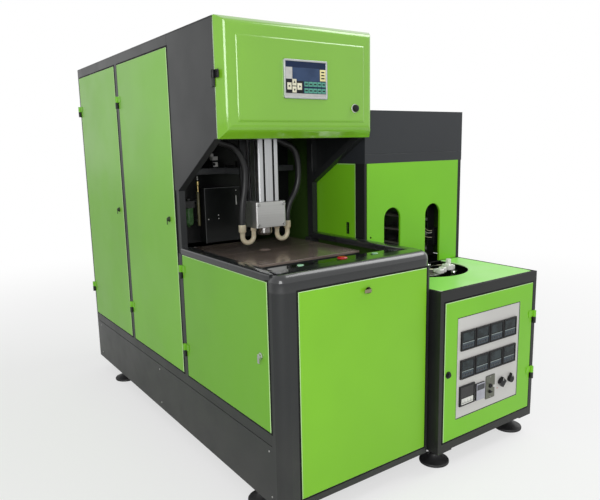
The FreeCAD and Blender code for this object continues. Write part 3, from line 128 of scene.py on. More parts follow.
mesh = bpy.data.meshes.new("floor")
corners = FLOOR_HALF * np.array([(-1, -1), (1, -1), (1, 1), (-1, 1)])
mesh.from_pydata([(x, y, FLOOR_LEVEL) for x, y in corners], [], [(0, 1, 2, 3)])
floor = bpy.data.objects.new("floor", mesh)
scene.collection.objects.link(floor)
paving = bpy.data.materials.new("floor")
paving.use_nodes = True
tree = paving.node_tree
shaded = tree.nodes["Principled BSDF"]
shaded.inputs["Base Color"].default_value = FLOOR_COLOUR
shaded.inputs["Roughness"].default_value = 0.9
white = add(tree, "Emission", {"Color": (1, 1, 1, 1), "Strength": 1.0})
rays = add(tree, "LightPath")
place = add(tree, "TexCoord")
away = add(tree, "VectorMath", {0: place.outputs["Object"]}, operation="LENGTH")
pale = add(tree, "MapRange", {"Value": away.outputs["Value"], "From Min": FLOOR_WHITE_FROM[0],
                              "From Max": FLOOR_WHITE_FROM[1], "To Min": FLOOR_SHOWN_WHITE[0],
                              "To Max": FLOOR_SHOWN_WHITE[1]}, interpolation_type="SMOOTHSTEP")
share = add(tree, "Math", {0: rays.outputs["Is Camera Ray"], 1: pale.outputs[0]}, operation="MULTIPLY")
both = add(tree, "MixShader", {0: share.outputs[0], 1: shaded.outputs[0], 2: white.outputs[0]})
tree.links.new(both.outputs[0], tree.nodes["Material Output"].inputs["Surface"])
mesh.materials.append(paving)


def soft_lamp(name, place, toward, size, watts):
    """A square area lamp at a place, turned so that its own -Z points at the target."""
    lamp = bpy.data.objects.new(name, bpy.data.lights.new(name, "AREA"))
    lamp.data.shape, lamp.data.size, lamp.data.energy = "SQUARE", size, watts
    back = np.subtract(place, toward) / np.linalg.norm(np.subtract(place, toward))
    side = np.cross((0, 0, 1), back) / np.linalg.norm(np.cross((0, 0, 1), back))
    basis = np.eye(4)
    basis[:3, 0], basis[:3, 1], basis[:3, 2], basis[:3, 3] = side, np.cross(back, side), back, place
    lamp.matrix_world = Matrix(basis.tolist())
    scene.collection.objects.link(lamp)


soft_lamp("lamp_left", (-4.0, -5.0, 2.7), (0, 0, 1.1), 2.6, 150)
soft_lamp("lamp_right", (4.0, -1.6, 5.6), (0, -0.4, 0.9), 3.4, 150)


# ---------------------------------------------------------------- air hoses
# Two thick black rubber hoses that feed the blowing column. Each leaves a swivel nut on the air
# block and climbs through the head's floor; they are stiff, so they hold a long arc.
CORNER = np.array([696.75, 1034.5, 0.0])


def shop(points):
    """Millimetres from the blower's front left corner on the floor, as metres from the part's origin."""
    return (np.asarray(points, float) - CORNER) / 1000


def finish(name, colour, roughness, metallic=0.0, **sockets):
    """A material with its constants on the shader; gives the material, its node tree and its shader."""
    made = bpy.data.materials.new(name)
    made.use_nodes = True
    shader = made.node_tree.nodes["Principled BSDF"]
    shader.inputs["Base Color"].default_value = (*colour, 1)
    shader.inputs["Roughness"].default_value = roughness
    shader.inputs["Metallic"].default_value = metallic
    for key, value in sockets.items():
        shader.inputs[key.replace("_", " ").title().replace("Ior", "IOR")].default_value = value
    return made, made.node_tree, shader


def noise(tree, scale, detail=2.0, stretch=(1, 1, 1)):
    """Cloudy noise over Object coordinates, with scale in cycles per metre, stretched along the axes."""
    place = add(tree, "TexCoord")
    placed = add(tree, "Mapping", {"Vector": place.outputs["Object"], "Scale": stretch})
    clouds = add(tree, "TexNoise", {"Vector": placed.outputs[0], "Scale": scale, "Detail": detail})
    return clouds.outputs["Fac"]


def between(tree, factor, low, high, at=(0.35, 0.65)):
    """Runs from one colour or number to another as the factor passes from the first stop to the second."""
    low = low if hasattr(low, "__len__") else (low,) * 3
    high = high if hasattr(high, "__len__") else (high,) * 3
    ramp = add(tree, "ValToRGB", {"Fac": factor})
    ramp.color_ramp.interpolation = "EASE"
    for element, stop, colour in zip(ramp.color_ramp.elements, at, (low, high)):
        element.position, element.color = stop, (*colour, 1)
    return ramp.outputs["Color"]


def relief(tree, shader, *layers):
    """Bump layers on the shader's normal, each a height between 0 and 1 and its depth in millimetres."""
    normal = None
    for height, depth in layers:
        inputs = {"Height": height, "Distance": depth / 1000, "Strength": 1.0}
        if normal:
            inputs["Normal"] = normal
        normal = add(tree, "Bump", inputs).outputs[0]
    tree.links.new(normal, shader.inputs["Normal"])


def moulded(name, colour, roughness, grain=900.0, depth=0.03, **sockets):
    """Moulded rubber or plastic: a fine grain, and a tone and a gloss that drift a little."""
    made, tree, shader = finish(name, colour, roughness, **sockets)
    drift = noise(tree, 14.0, 3.0)
    tree.links.new(between(tree, drift, np.multiply(colour, 0.86), np.multiply(colour, 1.12)),
                   shader.inputs["Base Color"])
    tree.links.new(between(tree, noise(tree, 40.0), roughness * 0.85, min(1.0, roughness * 1.15)),
                   shader.inputs["Roughness"])
    relief(tree, shader, (noise(tree, grain, 1.0), depth))
    return made


def skin(rows, wrap=True, low=True, high=True):
    """Rows of points joined by quads; wrap joins each row's ends, low and high cap the end rows."""
    rows = np.asarray(rows, float)
    index = np.arange(rows.shape[0] * rows.shape[1]).reshape(rows.shape[:2])
    own, beside = (index, np.roll(index, -1, axis=1)) if wrap else (index[:, :-1], index[:, 1:])
    quads = np.stack([own[:-1], beside[:-1], beside[1:], own[1:]], axis=-1).reshape(-1, 4)
    caps = ([index[0]] if low else []) + ([index[-1]] if high else [])
    return rows.reshape(-1, 3), quads, caps


def square_to(axis):
    """Two unit vectors square to an axis and to each other."""
    axis = np.asarray(axis, float) / np.linalg.norm(axis)
    across = np.cross((0, 0, 1) if abs(axis[2]) < 0.9 else (1, 0, 0), axis)
    across /= np.linalg.norm(across)
    return across, np.cross(axis, across)


def turned(profile, place, axis=(0, 0, 1), steps=32, flutes=0, depth=0.0, phase=0.5):
    """A lathe form: radius and distance pairs swept round an axis; flutes follow a cosine of the angle."""
    profile = np.asarray(profile, float)
    along = np.asarray(axis, float) / np.linalg.norm(axis)
    across, third = square_to(along)
    angle = 2 * np.pi * (np.arange(steps) + phase) / steps
    radius = profile[:, :1] - depth * np.clip(np.cos(flutes * angle), 0, 1) * (profile[:, :1] > 2 * depth)
    rim = np.cos(angle)[:, None] * across + np.sin(angle)[:, None] * third
    return skin(np.asarray(place, float) + profile[:, 1, None, None] * along + radius[:, :, None] * rim)


def carried(path, section, radius_at=None):
    """A flat section carried along a path, its frame turned at each step by the least that it asks."""
    path = np.asarray(path, float)
    ahead_of = np.gradient(path, axis=0)
    ahead_of /= np.linalg.norm(ahead_of, axis=1, keepdims=True)
    across, _ = square_to(ahead_of[0])
    rows = []
    for place, along, size in zip(path, ahead_of, np.ones(len(path)) if radius_at is None else radius_at):
        across = across - along * (across @ along)
        across /= np.linalg.norm(across)
        rows.append(place + size * (section[:, :1] * across + section[:, 1:] * np.cross(along, across)))
    return skin(rows)


def ring(radius, steps=16):
    """A circle's points, as a flat section."""
    angle = 2 * np.pi * np.arange(steps) / steps
    return radius * np.stack([np.cos(angle), np.sin(angle)], axis=1)


def slab(x, y, z):
    """A block between two values on each axis; the piece that it is in may round its edges afterwards."""
    low = [(x[0], y[0]), (x[1], y[0]), (x[1], y[1]), (x[0], y[1])]
    return skin([[(*corner, height) for corner in low] for height in z])


SEAM = 2e-6


def settle(made, material, body, slot, stands_for=(), sharp=35.0, width=0.0, segments=2, edge=None):
    """Closes seams, turns faces outwards, rounds edges (edge is their own finish) and rides on a body."""
    mesh = made.data
    work = bmesh.new()
    work.from_mesh(mesh)
    bmesh.ops.remove_doubles(work, verts=work.verts, dist=SEAM)
    bmesh.ops.recalc_face_normals(work, faces=work.faces)
    work.to_mesh(mesh)
    work.free()
    mesh.shade_smooth()
    mesh.set_sharp_from_angle(angle=math.radians(sharp))
    mesh.materials.clear()
    mesh.materials.append(material)
    if width:
        round_over = made.modifiers.new("rounded_edges", "BEVEL")
        round_over.width, round_over.segments = width / 1000, segments
        round_over.limit_method, round_over.angle_limit = "ANGLE", math.radians(sharp)
        round_over.harden_normals = True
        if edge:
            mesh.materials.append(edge)
            round_over.material = 1
    scene.collection.objects.link(made)
    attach(made, body)
    if stands_for:
        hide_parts(*stands_for)
    return made


def piece(name, parts, material, body, slot, stands_for=(), **how):
    """One object from skins given in shop millimetres."""
    first = np.cumsum([0] + [len(points) for points, _, _ in parts])
    faces = []
    for start, (_, quads, caps) in zip(first, parts):
        faces += (quads + start).tolist() + [(cap + start).tolist() for cap in caps]
    mesh = bpy.data.meshes.new(name)
    mesh.from_pydata(shop(np.concatenate([points for points, _, _ in parts])), [], faces)
    return settle(bpy.data.objects.new(name, mesh), material, body, slot, stands_for, **how)


# Cream nylon unions: a ribbed swivel nut under each hose, and a U bend that turns up into the
# underside of the air block through a second nut.
HOSE_Y = 672
BEND_Z = 992
BEND_RADIUS = 29
PIPE_RADIUS = 11
NUT = [(0, BEND_Z), (PIPE_RADIUS, BEND_Z), (11.5, 1008), (13, 1010), (15.5, 1013), (17, 1016), (17, 1042),
       (16.4, 1045), (15.2, 1046.5), (0, 1046.5)]
BLOCK_NUT = [(0, BEND_Z), (PIPE_RADIUS, BEND_Z), (PIPE_RADIUS, 1013), (13, 1015), (14.3, 1017), (14.3, 1028),
             (13.4, 1030), (0, 1030)]
nylon = moulded("cream_nylon", (0.60, 0.53, 0.38), 0.35, 500.0, 0.05, subsurface_weight=0.05)
bend = np.linspace(0, np.pi, 25)[:, None]
for side, x, inward in (("left", 254, 1), ("right", 496, -1)):
    path = np.hstack([x + inward * BEND_RADIUS * (1 - np.cos(bend)), HOSE_Y + 0 * bend,
                      BEND_Z - BEND_RADIUS * np.sin(bend)])
    parts = [
        turned(NUT, (x, HOSE_Y, 0), steps=72, flutes=18, depth=0.9),
        carried(path, ring(PIPE_RADIUS, 24)),
        turned(BLOCK_NUT, (x + inward * 2 * BEND_RADIUS, HOSE_Y, 0), steps=6),
    ]
    piece("union_" + side, parts, nylon, "machine", "nut_cream", ["hose_elbows"], sharp=40)

HOSE_DIAMETER = 0.030
HOSES = {
    "hose_left": ([(254, 672, 1046), (254, 672, 1116), (276, 672, 1215), (279, 672, 1318), (232, 676, 1392),
                   (170, 684, 1408), (136, 696, 1430)], 0.461),
    "hose_right": ([(496, 672, 1046), (496, 672, 1108), (564, 672, 1200), (569, 672, 1310), (545, 672, 1382),
                    (480, 682, 1408), (446, 696, 1430)], 0.463),
}
hose_rubber = moulded("hose_rubber", (0.016, 0.016, 0.017), 0.34, 700.0, 0.05, specular_ior_level=0.35)


def cord_line(name, route, diameter, material):
    """A NURBS line of order 3 with the route's points as its control points, as thick as the cord."""
    data = bpy.data.curves.new(name, "CURVE")
    data.dimensions = "3D"
    data.bevel_depth, data.bevel_resolution = diameter / 2, 6
    data.resolution_u, data.use_fill_caps = 12, True
    spline = data.splines.new("NURBS")
    spline.points.add(len(route) - 1)
    for point, place in zip(spline.points, shop(route)):
        point.co = (*place, 1)
    spline.use_endpoint_u = True
    spline.order_u = 3
    data.materials.append(material)
    line = bpy.data.objects.new(name, data)
    scene.collection.objects.link(line)
    return line


for name, (route, length) in HOSES.items():
    hose = cord_line(name, route, HOSE_DIAMETER, hose_rubber)
    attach(hose, "machine")
    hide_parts("air_hoses")


# ---------------------------------------------------------------- lamp wires
# Thin wires in braided sleeves, two in each loom. They leave the terminal strip at the end of the
# right lamp rack, hang across the right arch and end in ceramic plugs at the table's opening. A
# plug is one glazed white body of rounded blocks, with a screw well in each of the first two.
def cushion_block(centre, half, steps=20, power=6.0):
    """A rounded block: every point of a sphere's grid pushed out to the superellipsoid of that power."""
    tilt = np.linspace(-np.pi / 2, np.pi / 2, steps)[:, None]
    angle = 2 * np.pi * np.arange(2 * steps)[None] / (2 * steps)
    flat = np.cos(tilt)
    unit = np.stack([flat * np.cos(angle), flat * np.sin(angle), np.sin(tilt) + 0 * angle], axis=-1)
    reach = (np.abs(unit) ** power).sum(axis=-1, keepdims=True) ** (-1 / power)
    return skin(np.asarray(centre, float) + unit * reach * np.asarray(half, float), low=False, high=False)


glaze, tree, shader = finish("ceramic_glaze", (0.80, 0.80, 0.77), 0.16, coat_weight=0.6, coat_roughness=0.05)
tree.links.new(between(tree, noise(tree, 60.0, 4.0), (0.72, 0.72, 0.68), (0.84, 0.84, 0.82)),
               shader.inputs["Base Color"])
relief(tree, shader, (noise(tree, 120.0, 2.0), 0.15))
PLUGS = {
    "a": [((1090, 256, 785), (16, 16, 11)), ((1091, 274, 785), (13, 17, 9)),
          ((1116, 264, 789), (12, 18, 13))],
    "b": [((1158, 262, 796), (20, 17, 14)), ((1161, 282, 797), (16, 16, 11)),
          ((1186, 290, 808), (9, 11, 22)), ((1180, 266, 792), (14, 14, 12))],
}
SCREW_WELL = [(0, 0), (5.5, 0), (6, 1), (6, 5), (4.6, 6), (3.8, 3), (0, 3)]
WELL_SUNK = 4
for side, blocks in PLUGS.items():
    parts = [cushion_block(centre, half) for centre, half in blocks]
    parts += [turned(SCREW_WELL, (x, y, z + half[2] - WELL_SUNK), steps=20) for (x, y, z), half in blocks[:2]]
    piece("ceramic_plug_" + side, parts, glaze, "machine", "white_ceramic", ["wire_plugs"], sharp=50)

LOOM_A = [(1296, 500, 930), (1262, 500, 930), (1208, 480, 960), (1150, 470, 944), (1114, 476, 884),
          (1099, 468, 818), (1086, 430, 777.5), (1076, 380, 777.5), (1070, 340, 778.5), (1088, 312, 785),
          (1088, 288, 785)]
LOOM_B = [(1296, 500, 895), (1262, 500, 895), (1212, 482, 914), (1160, 480, 884), (1128, 480, 822),
          (1112, 438, 780), (1108, 378, 781), (1126, 336, 791), (1152, 316, 796), (1152, 294, 796)]
HIGH = [(0, 0, 5), (0, 0, 6), (2, -3, 8), (3, -3, 7), (4, -3, 5), (5, -2, 4), (5, -1, 3)]
LOW = [(0, 0, -5), (0, 0, -8), (3, 2, -8), (-4, 3, -8), (-6, 4, -6), (-7, 4, 2), (-6, 3, 2)]


def laid(route, shifts):
    """A wire's own route: each of the loom's points moved by its shift, and the later ones by the last."""
    moved = shifts + shifts[-1:] * (len(route) - len(shifts))
    return (np.asarray(route, float) + np.asarray(moved, float)).tolist()


beige_sleeve = moulded("beige_sleeve", (0.80, 0.72, 0.52), 0.7, 2400.0, 0.2)
white_sleeve = moulded("white_sleeve", (0.84, 0.82, 0.76), 0.6, 2400.0, 0.2)
black_sleeve = moulded("black_sleeve", (0.02, 0.02, 0.02), 0.5, 2400.0, 0.2)
WIRE_DIAMETER = 0.0034
WIRES = {
    "wire_a_high": (laid(LOOM_A, HIGH), beige_sleeve, 0.489, "ceramic_plug_a"),
    "wire_a_low": (laid(LOOM_A, LOW), white_sleeve, 0.484, "ceramic_plug_a"),
    "wire_b_high": (laid(LOOM_B, HIGH), beige_sleeve, 0.425, "ceramic_plug_b"),
    "wire_b_low": (laid(LOOM_B, LOW), black_sleeve, 0.424, "ceramic_plug_b"),
}
for name, (route, sleeve, length, plug) in WIRES.items():
    wire = cord_line(name, route, WIRE_DIAMETER, sleeve)
    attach(wire, "machine")
    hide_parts("lamp_wires")


# ---------------------------------------------------------------- feet
# Black rubber bells on zinc-plated threaded studs, four under each cabinet, each stud locked by a
# hexagon nut against the base rail. The bell is moulded with a step above the floor.
FEET = [(60, 235), (690, 235), (60, 1840), (690, 1840), (818, 30), (1345, 30), (818, 1680), (1345, 1680)]
BELL = [(0, 0), (61, 0), (64.4, 1.5), (65, 4), (65, 9), (63, 12), (57, 14), (44, 18), (31, 24), (22, 31),
        (19, 36), (18, 39), (16, 40), (0, 40)]
STUD_LOW, STUD_HIGH = 39.5, 66.5
STUD_RADIUS = 8.0
THREAD_PITCH = 2.5
THREAD_DEPTH = 0.9
HEX_NUT = [(0, 66), (12.6, 66), (15, 67.4), (15, 78.6), (12.6, 80), (0, 80)]

rubber = moulded("moulded_rubber", (0.017, 0.017, 0.018), 0.55, 500.0, 0.08)
turns = np.arange(STUD_LOW, STUD_HIGH, THREAD_PITCH / 2)
thread = [(0, STUD_LOW)] + [(STUD_RADIUS - THREAD_DEPTH * (k % 2), z) for k, z in enumerate(turns)]
thread.append((0, STUD_HIGH))


def metal(name, colour, roughness, brush=(1, 1, 1), scale=300.0, depth=0.02, **sockets):
    """Bare metal: noise drawn out along its grinding or rolling moves its tone, gloss and relief."""
    made, tree, shader = finish(name, colour, roughness, 1.0, **sockets)
    grain = noise(tree, scale, 3.0, brush)
    tree.links.new(between(tree, grain, np.multiply(colour, 0.91), np.multiply(colour, 1.04)),
                   shader.inputs["Base Color"])
    tree.links.new(between(tree, noise(tree, 9.0, 3.0), roughness * 0.92, roughness * 1.10),
                   shader.inputs["Roughness"])
    relief(tree, shader, (grain, depth))
    return made


zinc = metal("zinc_plate", (0.46, 0.46, 0.45), 0.36)
parts = [turned(BELL, (x, y, 0), steps=48) for x, y in FEET]
piece("feet", parts, rubber, "machine", "pad_rubber", ["foot_pads"])
parts = [turned(thread, (x, y, 0), steps=20) for x, y in FEET]
parts += [turned(HEX_NUT, (x, y, 0), steps=6) for x, y in FEET]
piece("levelling_studs", parts, zinc, "machine", "ground_steel", ["foot_studs"], sharp=32)


# ---------------------------------------------------------------- welded frames
# Square tube and angle, welded, ground flush and enamelled dark grey before the panels go on. The
# lower halves of the lift-off hinges are turned barrels welded to the posts.
DUST_COLOUR = (0.20, 0.19, 0.17, 1)
DUST_HEIGHTS = (0.06, 0.55)


def enamel(name, colour, roughness, peel=0.012, drift=0.03, dust=0.0, wave=0.25, **sockets):
    """Baked enamel on sheet: tone clouds, orange peel, a slow wave, and dust that thickens downwards."""
    made, tree, shader = finish(name, colour, roughness, **sockets)
    darker, lighter = np.multiply(colour, 1 - drift), np.multiply(colour, 1 + drift)
    tone = between(tree, noise(tree, 2.2, 2.0), darker, lighter)
    if dust:
        place = add(tree, "TexCoord")
        height = add(tree, "SeparateXYZ", {0: place.outputs["Object"]})
        low = add(tree, "MapRange", {"Value": height.outputs["Z"], "From Min": DUST_HEIGHTS[0],
                                     "From Max": DUST_HEIGHTS[1], "To Min": dust, "To Max": dust * 0.12})
        settled = add(tree, "Math", {0: low.outputs[0], 1: between(tree, noise(tree, 7.0, 3.0), 0.6, 1.0)},
                      operation="MULTIPLY")
        mixed = add(tree, "Mix", {0: settled.outputs[0], 6: tone, 7: DUST_COLOUR}, data_type="RGBA")
        tone = mixed.outputs[2]
    tree.links.new(tone, shader.inputs["Base Color"])
    tree.links.new(between(tree, noise(tree, 5.0, 2.0), roughness * 0.90, roughness * 1.12),
                   shader.inputs["Roughness"])
    relief(tree, shader, (noise(tree, 1.6, 0.0), wave), (noise(tree, 420.0, 1.0), peel))
    return made


SOLID_SEAM = 2e-5
FLAT_WITHIN = 1.0


def dressed(node, material, slot, width=1.0, sharp=30.0, segments=2, zones=(), edge=None):
    """A CAD node's own form, flats joined, edges rounded; a zone is a low and a high corner and a finish."""
    source = frame["nodes"][node]
    mesh = source.data.copy()
    work = bmesh.new()
    work.from_mesh(mesh)
    bmesh.ops.remove_doubles(work, verts=work.verts, dist=SOLID_SEAM)
    bmesh.ops.dissolve_limit(work, angle_limit=math.radians(FLAT_WITHIN), verts=work.verts, edges=work.edges)
    work.to_mesh(mesh)
    work.free()
    made = bpy.data.objects.new(node + "_dressed", mesh)
    settle(made, material, body_of(source)[0], slot, [node], sharp, width, segments, edge)
    centres = np.empty(3 * len(mesh.polygons))
    mesh.polygons.foreach_get("center", centres)
    marks = np.zeros(len(mesh.polygons), int)
    for low, high, other in zones:
        mesh.materials.append(other)
        inside = (centres.reshape(-1, 3) > shop(low)) & (centres.reshape(-1, 3) < shop(high))
        marks[inside.all(axis=1)] = len(mesh.materials) - 1
    mesh.polygons.foreach_set("material_index", marks)
    return made


dark_enamel = enamel("dark_grey_enamel", (0.022, 0.024, 0.025), 0.32, dust=0.14, specular_ior_level=0.36)
frame_enamel = enamel("frame_grey_enamel", (0.020, 0.022, 0.023), 0.34, dust=0.12, specular_ior_level=0.36)
dressed("bed_frame", frame_enamel, "frame_steel", 1.5)
dressed("cabinet_frame", frame_enamel, "frame_steel", 1.5)


# ---------------------------------------------------------------- bed: skins, rims and button shelf
# Folded sheet: rounded corner columns, skirts along the floor, a deep rounded rim in front, box
# rims at the sides, and a gloss black shelf for the push buttons.
dressed("bed_skins", dark_enamel, "dark_paint", 1.2)

BLOWER_WIDTH = 750
MIDDLE_X = 375
NOSE_CORNER = 42.0
NOSE_ROUND = 32.0
NOSE_Z = (895, 960)
NOSE_BACK = 85
SHELF_SEAT = (65.4, 931)
quarter = np.radians(np.linspace(0, 90, 13))


def nose_row(inset, z, back):
    """The rim's outline at one height, from the left side round the two rounded corners to the right."""
    radius = max(NOSE_CORNER - inset, 1.0)
    left = NOSE_CORNER - radius * np.stack([np.cos(quarter), np.sin(quarter)], axis=1)
    right = np.stack([BLOWER_WIDTH - left[::-1, 0], left[::-1, 1]], axis=1)
    sides = [[[inset, back]], [[inset, NOSE_CORNER + 4]], left, right,
             [[BLOWER_WIDTH - inset, NOSE_CORNER + 4]], [[BLOWER_WIDTH - inset, back]]]
    flat = np.concatenate(sides)
    return np.hstack([flat, np.full((len(flat), 1), z)])


seat_y, seat_z = SHELF_SEAT
rows = [nose_row(0, NOSE_Z[0], seat_y), nose_row(0, seat_z - 0.1, seat_y), nose_row(0.01, seat_z, NOSE_BACK)]
for a in np.radians(np.linspace(6, 90, 12)):
    height = NOSE_Z[1] - NOSE_ROUND * (1 - math.sin(a))
    rows.append(nose_row(NOSE_ROUND * (1 - math.cos(a)), height, NOSE_BACK))
rims = [skin(rows)]

# A side rim's front end is drawn in a little, so that it is tucked into the front rim.
RIM_FOOT = 931.5
TUCK_IN = 0.989
TUCK_DOWN = 0.96
RIM_SECTION = [(-3, RIM_FOOT), (-3, 951), (-2.5, 954), (-1, 956.4), (1.4, 957.7), (4, 958), (44.5, 958),
               (46.2, 957.2), (47, 955.5), (47, RIM_FOOT)]
for mirror in (1, -1):
    section = np.array([(MIDDLE_X + mirror * (x - MIDDLE_X), z) for x, z in RIM_SECTION])
    tucked = (MIDDLE_X, RIM_FOOT) + (section - (MIDDLE_X, RIM_FOOT)) * (TUCK_IN, TUCK_DOWN)
    ends = [(55, tucked), (72, (section + tucked) / 2), (92, section), (769.8, section)]
    rims.append(skin([np.insert(outline, 1, y, axis=1) for y, outline in ends]))
rim_enamel = enamel("rim_grey_enamel", (0.0165, 0.0180, 0.0190), 0.30, dust=0.04, specular_ior_level=0.30,
                    coat_weight=0.85, coat_roughness=0.05)
piece("bed_rims_rolled", rims, rim_enamel, "machine", "dark_paint", ["bed_rims"], sharp=28)

shelf_gloss = enamel("shelf_black_gloss", (0.010, 0.011, 0.011), 0.10, peel=0.006, wave=0.15, coat_weight=0.5,
                     coat_roughness=0.04)
dressed("button_shelf", shelf_gloss, "black_gloss", 2.2, segments=3)


def screws(points, axis, radius=4.0, height=2.4):
    """Pan-head screws with a socket, standing on the given points and turned along the axis."""
    head = [(0, 0), (radius, 0), (radius, height * 0.35), (radius * 0.86, height * 0.8),
            (radius * 0.6, height), (radius * 0.42, height), (radius * 0.40, height * 0.35),
            (0, height * 0.3)]
    return [turned(head, point, axis, steps=18) for point in points]


skirt_screws = [(88, 292), (76, 115), (1120, 292), (2080, 292), (1120, 115), (2080, 115)]
parts = screws([(-0.02, y, z) for y, z in skirt_screws], (-1, 0, 0))
piece("skirt_screws", parts, zinc, "machine", "ground_steel")


# ---------------------------------------------------------------- head shell and fixed panels
# Side plates of the head with their sloping lower edge, its roof and floor, and the screwed green
# sheets of the right side and the back, with their louvres; their inner face is painted shade in a dull dark
# green.
head_enamel = enamel("head_grey_enamel", (0.0185, 0.0205, 0.0215), 0.32, specular_ior_level=0.32)
dressed("head_shell", head_enamel, "dark_paint", 1.2)
leaf_green = enamel("leaf_green_enamel", (0.195, 0.530, 0.020), 0.33, dust=0.01)
# Painted shade: the green sheets' inner faces are drawn in a dull dark green for the shade inside the head
# and tower.
inside_shade_green = enamel("painted_shade_inside_green", (0.035, 0.080, 0.012), 0.6, specular_ior_level=0.2)
inside = ((740, 0, 80), (748.5, 2140, 1860), inside_shade_green)
dressed("fixed_panels", leaf_green, "green_paint", 1.0, zones=[inside])
SCREW_ROWS = (420, 1090, 1765)
panel_screws = [(BLOWER_WIDTH + 0.02, y, z) for y in (110, 700) for z in (420, 880)]
panel_screws += [(BLOWER_WIDTH + 0.02, y, z) for y in (860, 1400, 1535, 2080) for z in SCREW_ROWS]
parts = screws(panel_screws, (1, 0, 0))
parts += screws([(x, 2144.9, z) for x in (75, 675) for z in SCREW_ROWS], (0, 1, 0))
piece("panel_screws", parts, zinc, "machine", "ground_steel")


# ---------------------------------------------------------------- the bay under the head
# A black back panel, a cross beam that carries the blowing column's bracket, and a closed sheet
# box over the blowing valves. Beam and lid are dark grey, all of it bolted and screwed together.
bay_black = enamel("bay_black_enamel", (0.0085, 0.0090, 0.0095), 0.34, specular_ior_level=0.3)
beam_grey = enamel("beam_grey_enamel", (0.046, 0.049, 0.052), 0.34)
lid_grey = enamel("lid_grey_enamel", (0.009, 0.010, 0.010), 0.24, specular_ior_level=0.3)
beam_zone = ((50, 740, 1262), (700, 1001, 1298), beam_grey)
lid_zone = ((190, 925, 930), (430, 934.5, 1204), lid_grey)
dressed("bay_structure", bay_black, "black_gloss", 1.2, zones=[beam_zone, lid_zone])

# White-painted screws and a narrow white strip on the box's lid, and a larger screw on the right column.
LID_FACE = 929.9
white_paint = enamel("white_screw_paint", (0.72, 0.72, 0.70), 0.4)
lid_screws = [(x, LID_FACE, z) for x, z in ((218, 1051), (271, 1068), (272, 1051), (372, 1182))]
parts = screws(lid_screws, (0, -1, 0), 2.6) + screws([(724, 770, 1227)], (0, -1, 0), 5.0)
parts.append(slab((369, 372.5), (928.6, LID_FACE), (1112, 1158)))
piece("bay_screws", parts, white_paint, "machine", "ground_steel", width=0.3)

# Painted highlights: pale strips on the lid's left and top edges, and on the right column's inner edge.
lip_highlight_grey = enamel("painted_highlight_grey", (0.15, 0.155, 0.16), 0.33)
parts = [
    slab((201, 203.2), (929.4, 930.2), (937, 1199)),
    slab((201, 419), (929.4, 930.2), (1197.5, 1199.5)),
    slab((718.4, 720.2), (769.3, 771.2), (1262, 1397)),
]
piece("painted_highlight_strips", parts, lip_highlight_grey, "machine", "black_gloss", width=0.3)

# Small solenoid valves with their plugs, and the zinc bracket of a switch, on the beam.
pale_plastic = moulded("pale_valve_plastic", (0.62, 0.62, 0.60), 0.4, 500.0, 0.03)
black_plastic = moulded("black_plastic", (0.010, 0.010, 0.011), 0.36, 600.0, 0.03, specular_ior_level=0.25)
parts = [
    slab((236, 268), (902, 928), (1294, 1330)),
    slab((246, 268), (904, 926), (1348, 1366)),
    turned([(0, 0), (6, 0), (6.5, 1), (6.5, 9), (5, 10), (0, 10)], (241, 900, 1312), (0, -1, 0), steps=20),
    slab((316, 352), (904, 926), (1294, 1306)),
    slab((372, 388), (904, 926), (1294, 1322)),
]
piece("valve_plugs", parts, black_plastic, "machine", "black_plastic", width=1.5)
parts = [
    slab((238, 266), (901, 929), (1330, 1348)),
    slab((232, 246), (905, 925), (1348, 1362)),
    slab((240, 264), (899.5, 902.5), (1300, 1322)),
]
piece("valve_bodies", parts, pale_plastic, "machine", "panel_plastic", width=1.5)
parts = [
    slab((299, 321), (744, 748), (1294, 1345)),
    slab((299, 318), (748, 790), (1294, 1298)),
    slab((303, 317), (736, 744), (1304, 1330)),
]
piece("switch_bracket", parts, zinc, "machine", "ground_steel", width=1.0)


# ---------------------------------------------------------------- air filter
# A die-cast filter head with a clear bowl, and a brass-topped gauge stem of olive plastic held by
# two clips beside it. Both hang on a folded bracket from the back panel.
cast_black = enamel("cast_black_paint", (0.025, 0.026, 0.026), 0.42, peel=0.05)
parts = [
    slab((100, 195), (988, 1000), (1114, 1144)),
    slab((100, 148), (926, 988), (1112.2, 1146)),
    turned([(0, 0), (12, 0), (13, 1.5), (13, 10), (12, 12), (0, 12)], (124, 946, 1145.5), steps=32),
    slab((171.2, 182.8), (955.3, 985), (1123, 1135)),
    slab((171.2, 182.8), (955.3, 1000), (1040, 1052)),
]
piece("filter_head", parts, cast_black, "machine", "bowl_plastic", ["air_service_unit"], width=1.6)

bowl, tree, shader = finish("filter_bowl_plastic", (0.13, 0.30, 0.12), 0.12, transmission_weight=0.35,
                            ior=1.49)
tree.links.new(between(tree, noise(tree, 40.0, 3.0), (0.10, 0.25, 0.09), (0.17, 0.36, 0.15)),
               shader.inputs["Base Color"])
relief(tree, shader, (noise(tree, 90.0, 2.0), 0.1))
BOWL = [(0, 1022), (5, 1022), (6, 1026), (13, 1028), (19, 1033), (22, 1041), (22.6, 1050), (22.6, 1096),
        (23, 1098), (23, 1111.8), (0, 1111.8)]
piece("filter_bowl", [turned(BOWL, (124, 948, 0), steps=48)], bowl, "machine", "bowl_plastic",
      ["air_service_unit"])

